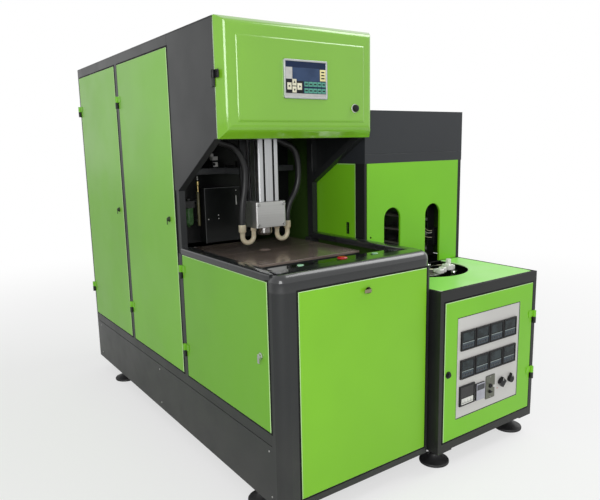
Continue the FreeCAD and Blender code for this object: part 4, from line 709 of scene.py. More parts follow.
olive = moulded("olive_stem_plastic", (0.115, 0.108, 0.045), 0.35, 300.0, 0.03)
brass = metal("brass", (0.74, 0.55, 0.24), 0.24)
STEM = [(0, 1022), (5, 1022), (6.8, 1024), (6.8, 1182), (6, 1184), (0, 1184)]
BRASS_TOP = [(0, 1184), (6.5, 1184), (6.8, 1186), (6.8, 1196), (5, 1198), (5, 1214), (7.6, 1215.5), (8, 1217),
             (8, 1233), (7.4, 1235), (3.2, 1240), (0, 1240)]
TUBE_TIP = [(0, 1239), (3.4, 1239), (3.4, 1254), (2.6, 1258), (0, 1258)]
for name, profile, steps, material in (("gauge_stem", STEM, 32, olive), ("gauge_top", BRASS_TOP, 32, brass),
                                       ("gauge_tip", TUBE_TIP, 24, white_paint)):
    piece(name, [turned(profile, (177, 948, 0), steps=steps)], material, "machine", "bowl_plastic",
          ["air_service_unit"])


# ---------------------------------------------------------------- blowing column
# A clear-anodised aluminium extrusion with mounting grooves is the cylinder of the stretch rod. It
# stands on a milled air block, in which a steel sleeve slides down to seal the neck.
anodised = metal("clear_anodised", (0.60, 0.61, 0.62), 0.32, (1, 1, 0.004), 900.0, 0.008)
milled = metal("milled_aluminium", (0.60, 0.60, 0.585), 0.42, (0.006, 1, 1), 900.0, 0.010)
polished = metal("polished_steel", (0.60, 0.60, 0.60), 0.14, (1, 1, 0.02), 500.0, 0.004)
# Painted shade: the grooves' floors are drawn near black.
groove_painted_shade = metal("groove_shade", (0.035, 0.035, 0.036), 0.45)
grooves = [((x - 6, 628.5, 1140), (x + 6, 634.5, 1800), groove_painted_shade) for x in (351, 399)]
grooves += [((323.5, y - 6, 1140), (329.5, y + 6, 1800), groove_painted_shade) for y in (656, 704)]
dressed("blow_cylinder", anodised, "anodised", 1.0, zones=grooves)
dressed("blow_block", milled, "mould_metal", 2.0, segments=3)
SLEEVE = [(10, 990), (25, 990), (27, 990.8), (34.2, 1000.6), (35, 1003), (35, 1124), (34, 1125), (10, 1125)]


def tube(profile, place, axis=(0, 0, 1), steps=48):
    """A lathe form with a bore: the profile is a closed loop of radius and distance pairs."""
    points, quads, _ = turned(list(profile) + [profile[0]], place, axis, steps)
    return points, quads, []


BLOWING_AXIS = (MIDDLE_X, 680, 0)
piece("seal_sleeve", [tube(SLEEVE, BLOWING_AXIS, steps=64)], polished, "seal_nozzle", "ground_steel",
      ["seal_nozzle"])
ROD = [(0, 995), (3.5, 995), (6.5, 996.5), (8, 1000), (8, 1754), (39.2, 1754), (39.4, 1755), (39.4, 1760),
       (37.5, 1761), (37.5, 1766), (39.4, 1767), (39.4, 1779), (39, 1780), (0, 1780)]
piece("stretch_rod_turned", [turned(ROD, BLOWING_AXIS, steps=48)], polished, "stretch_rod", "chrome",
      ["stretch_rod"])
SOCKET_SCREW = [(0, 0), (6.5, 0), (6.5, 5.2), (6, 6), (3.4, 6), (3.3, 2.4), (0, 2.2)]
parts = [turned(SOCKET_SCREW, (x, 615, z), (0, -1, 0), steps=24) for x in (309, 441) for z in (1043, 1133)]
piece("block_screws", parts, zinc, "machine", "ground_steel")


# ---------------------------------------------------------------- side doors
# Folded sheet trays in leaf green, with a painted highlight in pale green on their folds, lifted on
# to two turned hinges each. Black beads round them, drawn wide as rubber, are painted shade in the door
# gaps, and the bed door's darker green is painted shade too. The bed door has a chrome cam lock with its
# key left hanging, and the tall ones have dull zinc quarter-turn locks.
door_green = enamel("door_green_enamel", (0.200, 0.530, 0.030), 0.32, dust=0.008)
# Painted shade: the bed door's green is a darker copy of the tall doors' green.
shaded_bed_green = enamel("bed_door_painted_shade_green", (0.160, 0.445, 0.016), 0.32, dust=0.004)
# Painted highlight: the pale green on the trays' folds stands for light caught by their rounded edges.
highlight_edge_paint = enamel("painted_highlight_edge_enamel", (0.50, 0.76, 0.34), 0.30)
highlight_zone = ((-2.9, 60, 360), (-1.1, 2130, 1820), highlight_edge_paint)
dressed("rear_door", door_green, "green_paint", 0.9, zones=[highlight_zone])
dressed("middle_door", door_green, "green_paint", 0.9, zones=[highlight_zone])
dressed("bed_door", shaded_bed_green, "green_paint", 0.9, zones=[highlight_zone])


def shade_bead(place, near, far, section):
    """A lip round a rectangle: its section's points are steps outwards from the edge, and depths."""
    rows = []
    for out, depth in section + section[:1]:
        (u0, v0), (u1, v1) = np.subtract(near, out), np.add(far, out)
        rows.append([place(u, v, depth) for u, v in ((u0, v0), (u1, v0), (u1, v1), (u0, v1))])
    return skin(rows, low=False, high=False)


# Painted shade: black beads drawn wide round doors, panel, table and window stand for the shadow in their
# gaps.
LIP = [(-1.4, 1.5), (-1.4, -0.6), (-0.8, -1.6), (0.4, -2.0), (4.0, -1.6), (5.2, -0.8), (5.6, 0), (5.6, 1.5)]
gap_shade_rubber = moulded("gap_shade_rubber", (0.006, 0.006, 0.006), 0.6, 500.0, 0.03, specular_ior_level=0.2)
SILL = 369
parts = [shade_bead(lambda y, z, x: (x, y, z), (near, SILL), (far, high), LIP)
         for near, far, high in ((66, 765, 931), (812, 1445, 1811), (1490, 2124, 1811))]
piece("door_gap_shade_beads", parts, gap_shade_rubber, "machine", "pad_rubber", sharp=50)
chrome = metal("lock_chrome", (0.66, 0.66, 0.66), 0.12, depth=0.005)
LOCK_BARREL = [(0, -14.5), (5.5, -14.5), (6, -14), (6, -13), (9.2, -12), (9.5, -11), (9.5, -7), (11.5, -6.4),
               (12, -5.6), (12, -3.1), (9.5, -3.1), (9.5, 16), (0, 16)]
dark_zinc = metal("dark_zinc", (0.055, 0.075, 0.045), 0.36)
for door, y, z in (("rear", 1552, 1070), ("middle", 875, 1077)):
    barrel = turned([(radius, -depth) for radius, depth in LOCK_BARREL], (0, y, z), (-1, 0, 0), steps=40)
    key_flap = slab((-15.8, -14.2), (y - 3.5, y + 3.5), (z - 24, z + 5))
    cam = slab((16, 20), (y - 8, y + 8), (z - 8, z + 34))
    lock = door + "_door_lock"
    piece(door + "_lock_turned", [barrel, key_flap, cam], dark_zinc, lock, "black_plastic", [lock], width=0.6)
dressed("bed_door_lock", chrome, "chrome", 0.9)


# ---------------------------------------------------------------- front panel
# One deep sheet tray under the rounded rim, hinged at its foot so that it tilts out for service, with a
# painted highlight on its folds. A black bead round it is painted shade in its gap, and it has a dark
# brass key lock with its brighter flap near the top.
panel_green = enamel("panel_green_enamel", (0.210, 0.550, 0.014), 0.32, dust=0.012)
highlight_zone = ((80, -2.9, 105), (720, -1.1, 900), highlight_edge_paint)
dressed("front_panel", panel_green, "green_paint", 1.0, zones=[highlight_zone])
piece("panel_gap_shade_bead", [shade_bead(lambda x, z, y: (x, y, z), (80, 111), (720, 895), LIP)], gap_shade_rubber,
      "machine", "pad_rubber", sharp=50)
dark_brass = metal("dark_brass", (0.07, 0.062, 0.035), 0.24)
flap_brass = metal("flap_brass", (0.34, 0.32, 0.20), 0.24)
flap = ((370, -17, 840), (391, -12, 862), flap_brass)
dressed("front_panel_lock", dark_brass, "chrome", 0.9, zones=[flap])


# ---------------------------------------------------------------- head cover
# A pressed sheet hood, tapered on all four sides, with a shallow raised field in its face. It swings
# on one hinge at the left and shuts with a round quarter-turn knob.
def framed(left, right, low, high, radius, y, steps=6):
    """A rectangle with rounded corners at one depth, as one row of points."""
    a = np.radians(np.linspace(0, 90, steps))
    corners = []
    for x, z, start in ((right - radius, high - radius, 0), (left + radius, high - radius, 90),
                        (left + radius, low + radius, 180), (right - radius, low + radius, 270)):
        turn_by = a + np.radians(start)
        across, up = x + radius * np.cos(turn_by), z + radius * np.sin(turn_by)
        corners.append(np.stack([across, y + 0 * a, up], axis=1))
    return np.concatenate(corners)


def fold(before, corner, after, count=5):
    """Rows of a rounded fold: a quadratic blend from one row through the sharp corner's row to the next."""
    share = np.linspace(0, 1, count)[:, None, None]
    return list((1 - share) ** 2 * before + 2 * share * (1 - share) * corner + share ** 2 * after)


HOOD_LOW, HOOD_HIGH = 1420, 1862
TAPER_SIDE, TAPER_LOW, TAPER_TOP = 26, 34, 20
TAPER_FROM, FACE_Y, FIELD_Y = 380, 342, 338


def cover_row(along, inset=0.0):
    """The hood's outline a share of the way up its taper."""
    side = TAPER_SIDE * along + inset
    return framed(side, BLOWER_WIDTH - side, HOOD_LOW + TAPER_LOW * along + inset,
                  HOOD_HIGH - TAPER_TOP * along - inset, 3.0, TAPER_FROM - (TAPER_FROM - FACE_Y) * along)


def field_row(edge, y):
    """An outline of the raised field, by its distance from the hood's sides."""
    return framed(edge, BLOWER_WIDTH - edge, HOOD_LOW - 4 + edge, HOOD_HIGH - edge, 4, y)


rows = [framed(0, BLOWER_WIDTH, HOOD_LOW, HOOD_HIGH, 3.0, y) for y in (390, 383)]
rows += fold(cover_row(0), cover_row(0.02), cover_row(0.10), 5)
rows += fold(cover_row(0.62), cover_row(1.0), cover_row(1.0, 17), 14)
rows += fold(field_row(63, FACE_Y), field_row(66, FACE_Y), field_row(67.7, FACE_Y - 1.25), 6)
rows += fold(field_row(69.7, FIELD_Y + 1.25), field_row(71.4, FIELD_Y), field_row(74.4, FIELD_Y), 6)
cover_green = enamel("cover_green_enamel", (0.195, 0.470, 0.022), 0.14, wave=0.15, coat_weight=0.7,
                     coat_roughness=0.05)
hood = piece("cover_hood", [skin(rows, low=False)], cover_green, "head_cover", "cover_green", ["head_cover"],
             sharp=60)
sheet = hood.modifiers.new("sheet", "SOLIDIFY")
sheet.thickness, sheet.offset = 0.002, -1.0
BARREL = [(0, 0.2), (6.9, 0.2), (7.4, 0.8), (7.4, 28.8), (6.9, 30), (0, 30)]
parts = [turned(BARREL, (-8.5, 384, 1640), steps=32), slab((-4, -0.3), (352, 384), (1640, 1670))]
parts += screws([(-3.8, 360, 1647), (-3.8, 360, 1663)], (-1, 0, 0), 3.5, 1.8)
piece("cover_hinge", parts, black_plastic, "head_cover", "cover_green", ["head_cover"], width=0.8)

KNOB = [(0, -14), (11.6, -14), (14, -12.6), (15, -10), (15, -3), (9.5, -2), (9.5, 16), (0, 16)]
KNOB_X, KNOB_Z = 630, 1540
grip = turned(KNOB, (KNOB_X, FIELD_Y, KNOB_Z), (0, 1, 0), steps=48, flutes=24, depth=0.5)
cam = slab((622, 638), (350.2, 354), (1532, 1580))
mark = slab((628.4, 631.6), (323.4, 325), (1529, 1551))
parts = [grip, cam, mark]
piece("knob_turned", parts, black_plastic, "cover_knob", "black_plastic", ["cover_knob"], width=0.6)
ROSETTE = [(10.2, 335.6), (16.6, 335.6), (17.6, 336.4), (17.6, 338), (10.2, 338)]
piece("knob_rosette", [tube(ROSETTE, (KNOB_X, 0, KNOB_Z), (0, 1, 0), 40)], pale_plastic, "head_cover",
      "cover_green")


# ---------------------------------------------------------------- operator panel
# An aluminium frame round a printed navy membrane: pale strips, a blue display, a yellow plate, a
# black key field with four cream keys, and two rows of teal keys. All keys are raised films.
bezel = metal("bezel_aluminium", (0.50, 0.51, 0.52), 0.35, depth=0.01)
dressed("operator_panel", bezel, "panel_plastic", 1.2, segments=3)


def printed(name, colour, roughness=0.36, **sockets):
    """Screen-printed membrane: an even tone with a slight cloud and the film's fine grain."""
    made, tree, shader = finish(name, colour, roughness, **sockets)
    tone = between(tree, noise(tree, 30.0, 3.0), np.multiply(colour, 0.92), np.multiply(colour, 1.06))
    tree.links.new(tone, shader.inputs["Base Color"])
    relief(tree, shader, (noise(tree, 900.0, 1.0), 0.01))
    return made


PANEL_CORNER = (270, 1572)
PANEL_SPAN = (210, 148)
MEMBRANE_Y = 332.5


def on_panel(u, v, depth, rise=0.0):
    """A plate on the membrane between two shares of its width and two of its height."""
    low, high = (np.add(PANEL_CORNER, np.multiply(PANEL_SPAN, share)) for share in zip(u, v))
    return slab((low[0], high[0]), (MEMBRANE_Y - rise - depth, MEMBRANE_Y - rise), (low[1], high[1]))


navy = printed("navy_membrane", (0.006, 0.018, 0.058), specular_ior_level=0.25)
piece("membrane_navy", [on_panel((0.034, 0.966), (0.049, 0.951), 0.4)], navy, "head_cover", "panel_plastic")
strip_grey = printed("membrane_pale_grey", (0.50, 0.50, 0.48))
parts = [on_panel((0.034, 0.966), (0.049, 0.135), 0.4, 0.4), on_panel((0.034, 0.185), (0.50, 0.80), 0.4, 0.4)]
piece("membrane_pale", parts, strip_grey, "head_cover", "panel_plastic")
display, tree, shader = finish("display_glass", (0.024, 0.050, 0.115), 0.12, specular_ior_level=0.3)
tree.links.new(between(tree, noise(tree, 18.0, 2.0), (0.020, 0.044, 0.105), (0.030, 0.060, 0.135)),
               shader.inputs["Base Color"])
piece("display_window", [on_panel((0.190, 0.815), (0.455, 0.795), 0.9, 0.4)], display, "head_cover",
      "panel_plastic", width=0.3)
yellow = printed("yellow_plate", (0.82, 0.74, 0.36))
piece("yellow_field", [on_panel((0.825, 0.962), (0.475, 0.775), 0.5, 0.4)], yellow, "head_cover",
      "panel_plastic", width=0.2)
key_black = printed("key_field_black", (0.008, 0.009, 0.011), specular_ior_level=0.25)
piece("key_field", [on_panel((0.040, 0.425), (0.140, 0.490), 0.4, 0.4)], key_black, "head_cover",
      "panel_plastic")
cream = printed("cream_keys", (0.74, 0.72, 0.55), 0.4)
left, up = ((0.065, 0.160), (0.225, 0.405)), ((0.178, 0.272), (0.330, 0.500))
down, right = ((0.178, 0.272), (0.150, 0.310)), ((0.290, 0.395), (0.225, 0.400))
parts = [on_panel(u, v, 1.6, 0.8) for u, v in (left, up, down, right)]
piece("direction_keys", parts, cream, "head_cover", "panel_plastic", width=5, segments=4)
teal = printed("teal_keys", (0.085, 0.330, 0.250), 0.4)
KEY_PITCH = 0.103
parts = [on_panel((0.452 + KEY_PITCH * k, 0.545 + KEY_PITCH * k), (low, low + 0.125), 1.4, 0.8)
         for k in range(5) for low in (0.150, 0.320)]
piece("function_keys", parts, teal, "head_cover", "panel_plastic", width=1.3, segments=3)

# Plain printed marks: an arrowhead on each direction key, a bar on each other key and three on the plate.
ARROW = np.array([(0, 6.5), (-5, -2.5), (5, -2.5)])
parts = []
for u, v, heading in ((0.1125, 0.315, 90), (0.225, 0.415, 0), (0.225, 0.230, 180), (0.3425, 0.3125, 270)):
    cosine, sine = math.cos(math.radians(heading)), math.sin(math.radians(heading))
    flat = ARROW @ [[cosine, sine], [-sine, cosine]] + np.add(PANEL_CORNER, np.multiply(PANEL_SPAN, (u, v)))
    parts.append(skin([np.insert(flat, 1, y, axis=1) for y in (330.3, 330.0)]))
parts += [on_panel((0.470 + KEY_PITCH * k, 0.527 + KEY_PITCH * k), (low, low + 0.035), 0.3, 2.1)
          for k in range(5) for low in (0.195, 0.365)]
parts += [on_panel((0.855, 0.932), (low, low + 0.035), 0.3, 0.8) for low in (0.53, 0.61, 0.69)]
piece("key_marks", parts, key_black, "head_cover", "panel_plastic")


# ---------------------------------------------------------------- push buttons
# A red mushroom stop button and two low pale green start buttons, spring-loaded, each in a black
# collar screwed into the shelf.
red = moulded("stop_red", (0.50, 0.015, 0.020), 0.23, 300.0, 0.02, coat_weight=0.3)
BUTTON_Y = 135
STOP_X = 390
START_X = {"left": 190, "right": 560}
STOP = [(0, 932.5), (10.3, 932.5), (10.3, 952), (17, 952), (20.4, 953.2), (21, 955), (20.6, 957.4),
        (17.5, 960.2), (11, 961.6), (5, 962), (0, 962)]
piece("stop_mushroom", [turned(STOP, (STOP_X, BUTTON_Y, 0), steps=48)], red, "stop_button", "red_plastic",
      ["stop_button"])
start_green = moulded("start_green", (0.34, 0.62, 0.40), 0.23, 300.0, 0.02, coat_weight=0.3)
START = [(0, 932.5), (10.3, 932.5), (10.3, 952), (12.2, 952), (13, 952.8), (12.9, 954.2), (11.4, 955.6),
         (7, 956), (0, 956)]
for side, x in START_X.items():
    piece("start_cap_" + side, [turned(START, (x, BUTTON_Y, 0), steps=40)], start_green,
          "start_button_" + side, "lamp_green", ["start_button_" + side])
COLLAR = [(10.9, 947.5), (17.4, 947.5), (17.6, 948.2), (17.0, 948.7), (10.9, 948.8)]
STOP_COLLAR = [(10.9, 947.5), (22.4, 947.5), (22.6, 948.2), (22.0, 948.7), (10.9, 948.8)]
parts = [tube(STOP_COLLAR, (STOP_X, BUTTON_Y, 0))]
parts += [tube(COLLAR, (x, BUTTON_Y, 0)) for x in START_X.values()]
piece("button_collars", parts, black_plastic, "machine", "black_gloss", sharp=40)


# ---------------------------------------------------------------- clamp, mould and deck
# Steel platens on carriages carry two aluminium mould halves; chromed tie bars run back to the
# crosshead and its clamp cylinder. Two oiled steel plates with a neck notch deck the mould over.
machine_black = enamel("machine_black_paint", (0.018, 0.019, 0.020), 0.38, peel=0.05)
chromed = metal("chromed_steel", (0.62, 0.62, 0.63), 0.13, (1, 0.01, 1), 500.0, 0.004)
mould_alloy = metal("mould_aluminium", (0.60, 0.60, 0.59), 0.32, (1, 0.01, 1), 700.0, 0.01)
dressed("front_platen", machine_black, "black_gloss", 2.0)
dressed("rear_platen", machine_black, "black_gloss", 2.0)
dressed("mould_front", mould_alloy, "mould_metal", 1.2, sharp=40)
dressed("mould_rear", mould_alloy, "mould_metal", 1.2, sharp=40)
dressed("clamp_cylinder", machine_black, "frame_steel", 1.5, sharp=40)
ground = metal("ground_steel", (0.42, 0.42, 0.41), 0.32, (1, 0.01, 1), 700.0, 0.008)
rail_zone = ((140, 180, 268.5), (610, 1965, 295), ground)
dressed("slide_bed", machine_black, "ground_steel", 1.2, zones=[rail_zone])
BAR_RADIUS = 20
ROD_RADIUS = 35
TIE_BAR = [(0, 345), (18, 345), (BAR_RADIUS, 347), (BAR_RADIUS, 352), (30.5, 352), (32, 353.5), (32, 378.5),
           (30.5, 380), (BAR_RADIUS, 380), (BAR_RADIUS, 1900), (30.5, 1900), (32, 1901.5), (32, 1930.5),
           (30.5, 1932), (BAR_RADIUS, 1932), (BAR_RADIUS, 1938), (18, 1940), (0, 1940)]
parts = [turned(TIE_BAR, (x, 0, z), (0, 1, 0), steps=40) for x in (115, 635) for z in (400, 850)]
piece("tie_bars_turned", parts, chromed, "front_clamp", "chrome", ["tie_bars"])
CLAMP_ROD = [(0, 980), (68.5, 980), (70, 981.5), (70, 998.5), (68.5, 1000), (ROD_RADIUS, 1000),
             (ROD_RADIUS, 1410), (98, 1410), (99.4, 1411.5), (99.4, 1438.5), (98, 1440), (0, 1440)]
piece("clamp_rod_turned", [turned(CLAMP_ROD, (MIDDLE_X, 0, 625), (0, 1, 0), steps=64)], chromed, "rear_clamp",
      "chrome", ["clamp_rod"])

deck_steel, tree, shader = finish("oiled_deck_steel", (0.180, 0.142, 0.120), 0.18, 0.0, coat_weight=0.3,
                                  coat_roughness=0.10)
patches = between(tree, noise(tree, 5.0, 5.0), (0.175, 0.136, 0.116), (0.265, 0.210, 0.180))
tree.links.new(patches, shader.inputs["Base Color"])
tree.links.new(between(tree, noise(tree, 9.0, 4.0), 0.16, 0.25), shader.inputs["Roughness"])
relief(tree, shader, (noise(tree, 3.0, 2.0), 0.4), (noise(tree, 300.0, 1.0, (1, 0.05, 1)), 0.01))
dressed("deck_front", deck_steel, "black_gloss", 1.2)
dressed("deck_rear", deck_steel, "black_gloss", 1.2)


# ---------------------------------------------------------------- heater: frame and tower
# A welded frame of small square posts with black lower sheets, leaf green sheets round the tower with
# painted shade in a dull dark green on their inner faces, a front with two arches for the preforms, and a
# dark hood with a seam round it.
heater_enamel = enamel("heater_black_enamel", (0.012, 0.013, 0.013), 0.32, dust=0.08, specular_ior_level=0.36)
# Painted shadow: the frame's top faces round the table plate are drawn near black for the shadow in the gap.
painted_shadow_border = enamel("painted_shadow_border", (0.004, 0.004, 0.0045), 0.5, specular_ior_level=0.2)
border = ((750, -50, 791.5), (1412, 420, 793), painted_shadow_border)
dressed("heater_frame", heater_enamel, "dark_paint", 1.2, zones=[border])
tower_green = enamel("tower_green_enamel", (0.195, 0.560, 0.014), 0.32, dust=0.008)
behind = ((760, 415.5, 780), (1400, 417, 1310), inside_shade_green)
dressed("tower_front", tower_green, "green_paint", 0.8, sharp=25, zones=[behind])
insides = [((x - 0.6, 400, 780), (x + 0.6, 1800, 1310), inside_shade_green) for x in (756, 1407)]
dressed("tower_panels", tower_green, "green_paint", 0.8, zones=insides)
hood_enamel = enamel("hood_grey_enamel", (0.024, 0.027, 0.031), 0.36, specular_ior_level=0.40)
dressed("tower_header", hood_enamel, "dark_paint", 1.2)

# Each arch's cut edge is turned inwards into a narrow flange, so that it shows some thickness.
TABLE_Z = 793
ARCH_RADIUS = 55
ARCH_SPRING = 1038
FLANGE_Y = (413.4, 424)
LANES = (926, 1204)
arch_turn = np.radians(np.linspace(0, 180, 25))


def arch_line(x, radius):
    """An arch's outline: up from the table, round its half circle and down again."""
    bow = np.stack([x + radius * np.cos(arch_turn), ARCH_SPRING + radius * np.sin(arch_turn)], axis=1)
    return np.concatenate([[(x + radius, TABLE_Z)], bow, [(x - radius, TABLE_Z)]])


parts = []
for x in LANES:
    line, inner = arch_line(x, ARCH_RADIUS), arch_line(x, ARCH_RADIUS - 1.4)
    near, far = FLANGE_Y
    edges = ((line, near), (inner, near), (inner, far), (line, far))
    corners = [np.insert(edge, 1, y, axis=1) for edge, y in edges]
    parts.append(skin(np.stack(corners, axis=1)))
piece("arch_flanges", parts, tower_green, "machine", "green_paint", sharp=40)

# The side sheets are hemmed, and a pale strip on the hem's rolled edge is a painted highlight.
hem_highlight = enamel("painted_highlight_hem", (0.42, 0.70, 0.26), 0.33)
parts = []
for x in ((752.4, 753.1), (1409.9, 1410)):
    parts += [slab(x, (480, 483), (TABLE_Z, 1301)), slab(x, (480, 1732), (1298.6, 1301.4))]
piece("side_hem_highlights", parts, hem_highlight, "machine", "green_paint")

# The slot in each side sheet has a moulded black lifting grip behind it.
parts = []
for x in ((752.5, 754.5), (1407, 1409.5)):
    parts += [slab(x, (526, 530.5), (970, 1026)), slab(x, (541.5, 546), (970, 1026)),
              slab(x, (526, 546), (970, 974.5)), slab(x, (526, 546), (1021.5, 1026))]
piece("slot_grips", parts, black_plastic, "machine", "black_plastic", width=0.5)


# ---------------------------------------------------------------- heater: table
# A pale green enamelled plate let into a border painted near black as painted shadow of the gap, with
# the round-fronted opening through which the preforms are set on their spindles. Its rounded edge
# carries a pale painted highlight, and a black bead round it is more painted shadow in the gap.
table_enamel = enamel("table_green_enamel", (0.330, 0.840, 0.140), 0.34, specular_ior_level=0.35)
LOOP_X, LOOP_FRONT = 1065, 332
OPENING_RADIUS = 203
TABLE_LEFT, TABLE_RIGHT, TABLE_FRONT, TABLE_BACK = 765, 1398, -36, 413
ROWS_ACROSS = 6
NEVER, NEARLY_NONE = 1e9, 1e-9
heart = np.array([LOOP_X, LOOP_FRONT])
arc = np.linspace(0, np.pi, 49)
bow = heart + OPENING_RADIUS * np.stack([np.cos(arc), -np.sin(arc)], axis=1)
right_end, left_end = [(LOOP_X + OPENING_RADIUS, TABLE_BACK)], [(LOOP_X - OPENING_RADIUS, TABLE_BACK)]
opening = np.concatenate([right_end, bow, left_end])

# Every point of the opening's edge runs straight out from the round front's centre to the plate's
# own edge, so the plate is one grid between the two outlines.
reach = np.where(np.abs(opening - heart) < NEARLY_NONE, NEARLY_NONE, opening - heart)
to_side = np.where(reach[:, 0] > 0, TABLE_RIGHT - LOOP_X, LOOP_X - TABLE_LEFT) / np.abs(reach[:, 0])
to_front = np.where(reach[:, 1] < 0, (LOOP_FRONT - TABLE_FRONT) / np.abs(reach[:, 1]), NEVER)
outer = heart + reach * np.minimum(to_side, to_front)[:, None]
outer[0], outer[-1] = (TABLE_RIGHT, TABLE_BACK), (TABLE_LEFT, TABLE_BACK)
outwards = np.linspace(0, 1, ROWS_ACROSS)[:, None, None] ** 1.4


def table_rows(z):
    """Rows that run from the opening's edge out to the plate's own edge at one height."""
    flat = opening + (outer - opening) * outwards
    return np.concatenate([flat, np.full((*flat.shape[:2], 1), z)], axis=2)


top, under = table_rows(792.4), table_rows(786.0)
parts = [skin(np.concatenate([top, under[::-1], top[:1]]), wrap=False, low=False, high=False)]

# Beside the opening the plate's rear edge is closed by one flat face at each end of the grid.
for end in (0, -1):
    rim = np.concatenate([top[:, end], under[::-1, end]])
    parts.append((rim, np.empty((0, 4), int), [np.arange(len(rim))]))
# Painted highlight: the bevel round the plate's edge is drawn pale for the light it catches.
table_highlight = enamel("painted_highlight_table_rim", (0.70, 0.90, 0.58), 0.3)
piece("table_plate", parts, table_enamel, "machine", "table_green", ["table_top"], sharp=40, width=2.6,
      segments=3, edge=table_highlight)
# A black bead round the table plate: painted shadow in its gap.
lip = [(out, 792 - depth * 0.8) for out, depth in LIP]
piece("table_gap_shade_bead", [shade_bead(lambda x, y, z: (x, y, z), (764, -37), (1399, 410), lip)], gap_shade_rubber, "machine",
      "pad_rubber", sharp=50)


# ---------------------------------------------------------------- heater: door and its instruments
# A green tray with a window, on two hinges, with a painted highlight on its folds; black beads round
# the tray and inside the window's opening are painted shade in the gaps. Behind the window a pale plate
# carries eight lamp regulators, a voltmeter, a counter, a steel switch plate and two selector knobs.
highlight_zone = ((775, -50.9, 120), (1385, -49.1, 750), highlight_edge_paint)
dressed("heater_door", tower_green, "green_paint", 1.0, zones=[highlight_zone])
# A black bead inside the window's opening: painted shade on its inner wall.
WINDOW_LIP = [(0.4, -49.5), (-3.6, -49.5), (-3.6, -46), (0.4, -46)]
piece("window_gap_shade_bead", [shade_bead(lambda x, z, y: (x, y, z), (857, 212), (1288, 666), WINDOW_LIP)], gap_shade_rubber,
      "heater_door", "black_plastic", sharp=50)
# A black bead round the heater door: painted shade in its gap.
lip = [(out, depth - 48) for out, depth in LIP]
piece("heater_door_gap_shade_bead", [shade_bead(lambda x, z, y: (x, y, z), (780, 126), (1383, 743), lip)], gap_shade_rubber,
      "machine", "pad_rubber", sharp=50)
dressed("heater_door_lock", black_plastic, "black_plastic", 0.9)
plate_grey = enamel("plate_pale_grey", (0.60, 0.59, 0.57), 0.45, peel=0.006)
dressed("instrument_plate", plate_grey, "light_grey", 0.6)
dressed("instruments", black_plastic, "black_plastic", 1.0)

screen, tree, shader = finish("regulator_screen", (0.012, 0.020, 0.023), 0.14, specular_ior_level=0.3)
tree.links.new(between(tree, noise(tree, 22.0, 3.0), (0.007, 0.012, 0.014), (0.026, 0.040, 0.044)),
               shader.inputs["Base Color"])
band_blue = printed("regulator_band", (0.030, 0.048, 0.066), 0.25)
pale_line = printed("regulator_line", (0.26, 0.31, 0.31), 0.35)
dark_key = moulded("regulator_key", (0.030, 0.034, 0.038), 0.35, 300.0, 0.02)
MODULE = 96
MODULES_LEFT = 879
MODULE_FOOT = (516, 389)
BEZEL_Y = -54
KEY_LEFT, KEY_STEP, KEY_WIDTH = 14, 17, 12
screens, bands, lines, keys = [], [], [], []
for low in MODULE_FOOT:
    for left in MODULES_LEFT + MODULE * np.arange(4):
        screens.append(slab((left + 10, left + 82), (BEZEL_Y - 1.6, BEZEL_Y), (low + 40, low + 78)))
        bands.append(slab((left + 8, left + 84), (BEZEL_Y - 1.0, BEZEL_Y), (low + 8, low + 30)))
        lines.append(slab((left + 8, left + 84), (BEZEL_Y - 1.4, BEZEL_Y), (low + 31.5, low + 35)))
        for key in left + KEY_LEFT + KEY_STEP * np.arange(4):
            keys.append(slab((key, key + KEY_WIDTH), (BEZEL_Y - 2.2, BEZEL_Y - 1.0), (low + 13, low + 22)))
piece("regulator_screens", screens, screen, "heater_door", "black_plastic", width=0.5)
piece("regulator_bands", bands, band_blue, "heater_door", "black_plastic", width=0.3)
piece("regulator_lines", lines, pale_line, "heater_door", "black_plastic", width=0.3)
piece("regulator_keys", keys, dark_key, "heater_door", "black_plastic", width=0.8)

meter_white = printed("meter_scale_white", (0.72, 0.72, 0.68))
meter_black = printed("meter_face_black", (0.022, 0.021, 0.022), 0.2)
counter_dark = printed("counter_face", (0.045, 0.047, 0.055), 0.2)
lavender = printed("counter_lavender", (0.40, 0.40, 0.46))
piece("meter_face", [slab((883, 970), (-55.4, -54), (302, 351))], meter_black, "heater_door", "black_plastic",
      width=0.5)
piece("meter_scale", [slab((889, 965), (-56.6, -54), (272, 299))], meter_white, "heater_door", "light_grey",
      width=0.8)
parts = [slab((895 + 10 * k, 896 + 10 * k), (-57.0, -56.5), (279, 286 + 4 * (k % 2))) for k in range(7)]
parts.append(slab((893, 961), (-57.0, -56.5), (277.6, 279)))
piece("meter_ticks", parts, key_black, "heater_door", "black_plastic")
parts = [slab((989, 1041), (-57.5, -57), (268, 318)), slab((986.4, 1043.6), (-57.3, -57), (265.4, 342.6))]
piece("counter_body", parts, lavender, "heater_door", "light_grey", width=0.2)
piece("counter_window", [slab((990, 1040), (-58.2, -57.2), (312, 337))], counter_dark, "heater_door",
      "black_plastic", width=0.4)
switch_steel = metal("switch_plate_olive", (0.20, 0.205, 0.17), 0.40, (1, 1, 0.01), 700.0, 0.008)
piece("switch_escutcheon", [slab((1057, 1119), (-52.2, -51.4), (251, 359))], switch_steel, "heater_door",
      "black_plastic", width=0.5)
parts = screws([(1088, -52.2, 352), (1088, -52.2, 258)], (0, -1, 0), 3.0, 1.6)
piece("switch_screws", parts, zinc, "heater_door", "ground_steel")
KEY_KNOB = [(0, 0), (8, 0), (8, 3), (6, 4), (5.5, 8), (4, 9), (0, 9)]
parts = [turned(KEY_KNOB, (1084, -52.2, 283), (0, -1, 0), steps=28),
         slab((1076, 1092), (-63, -59), (281, 285))]
piece("switch_key_knob", parts, black_plastic, "heater_door", "black_plastic", width=0.5)
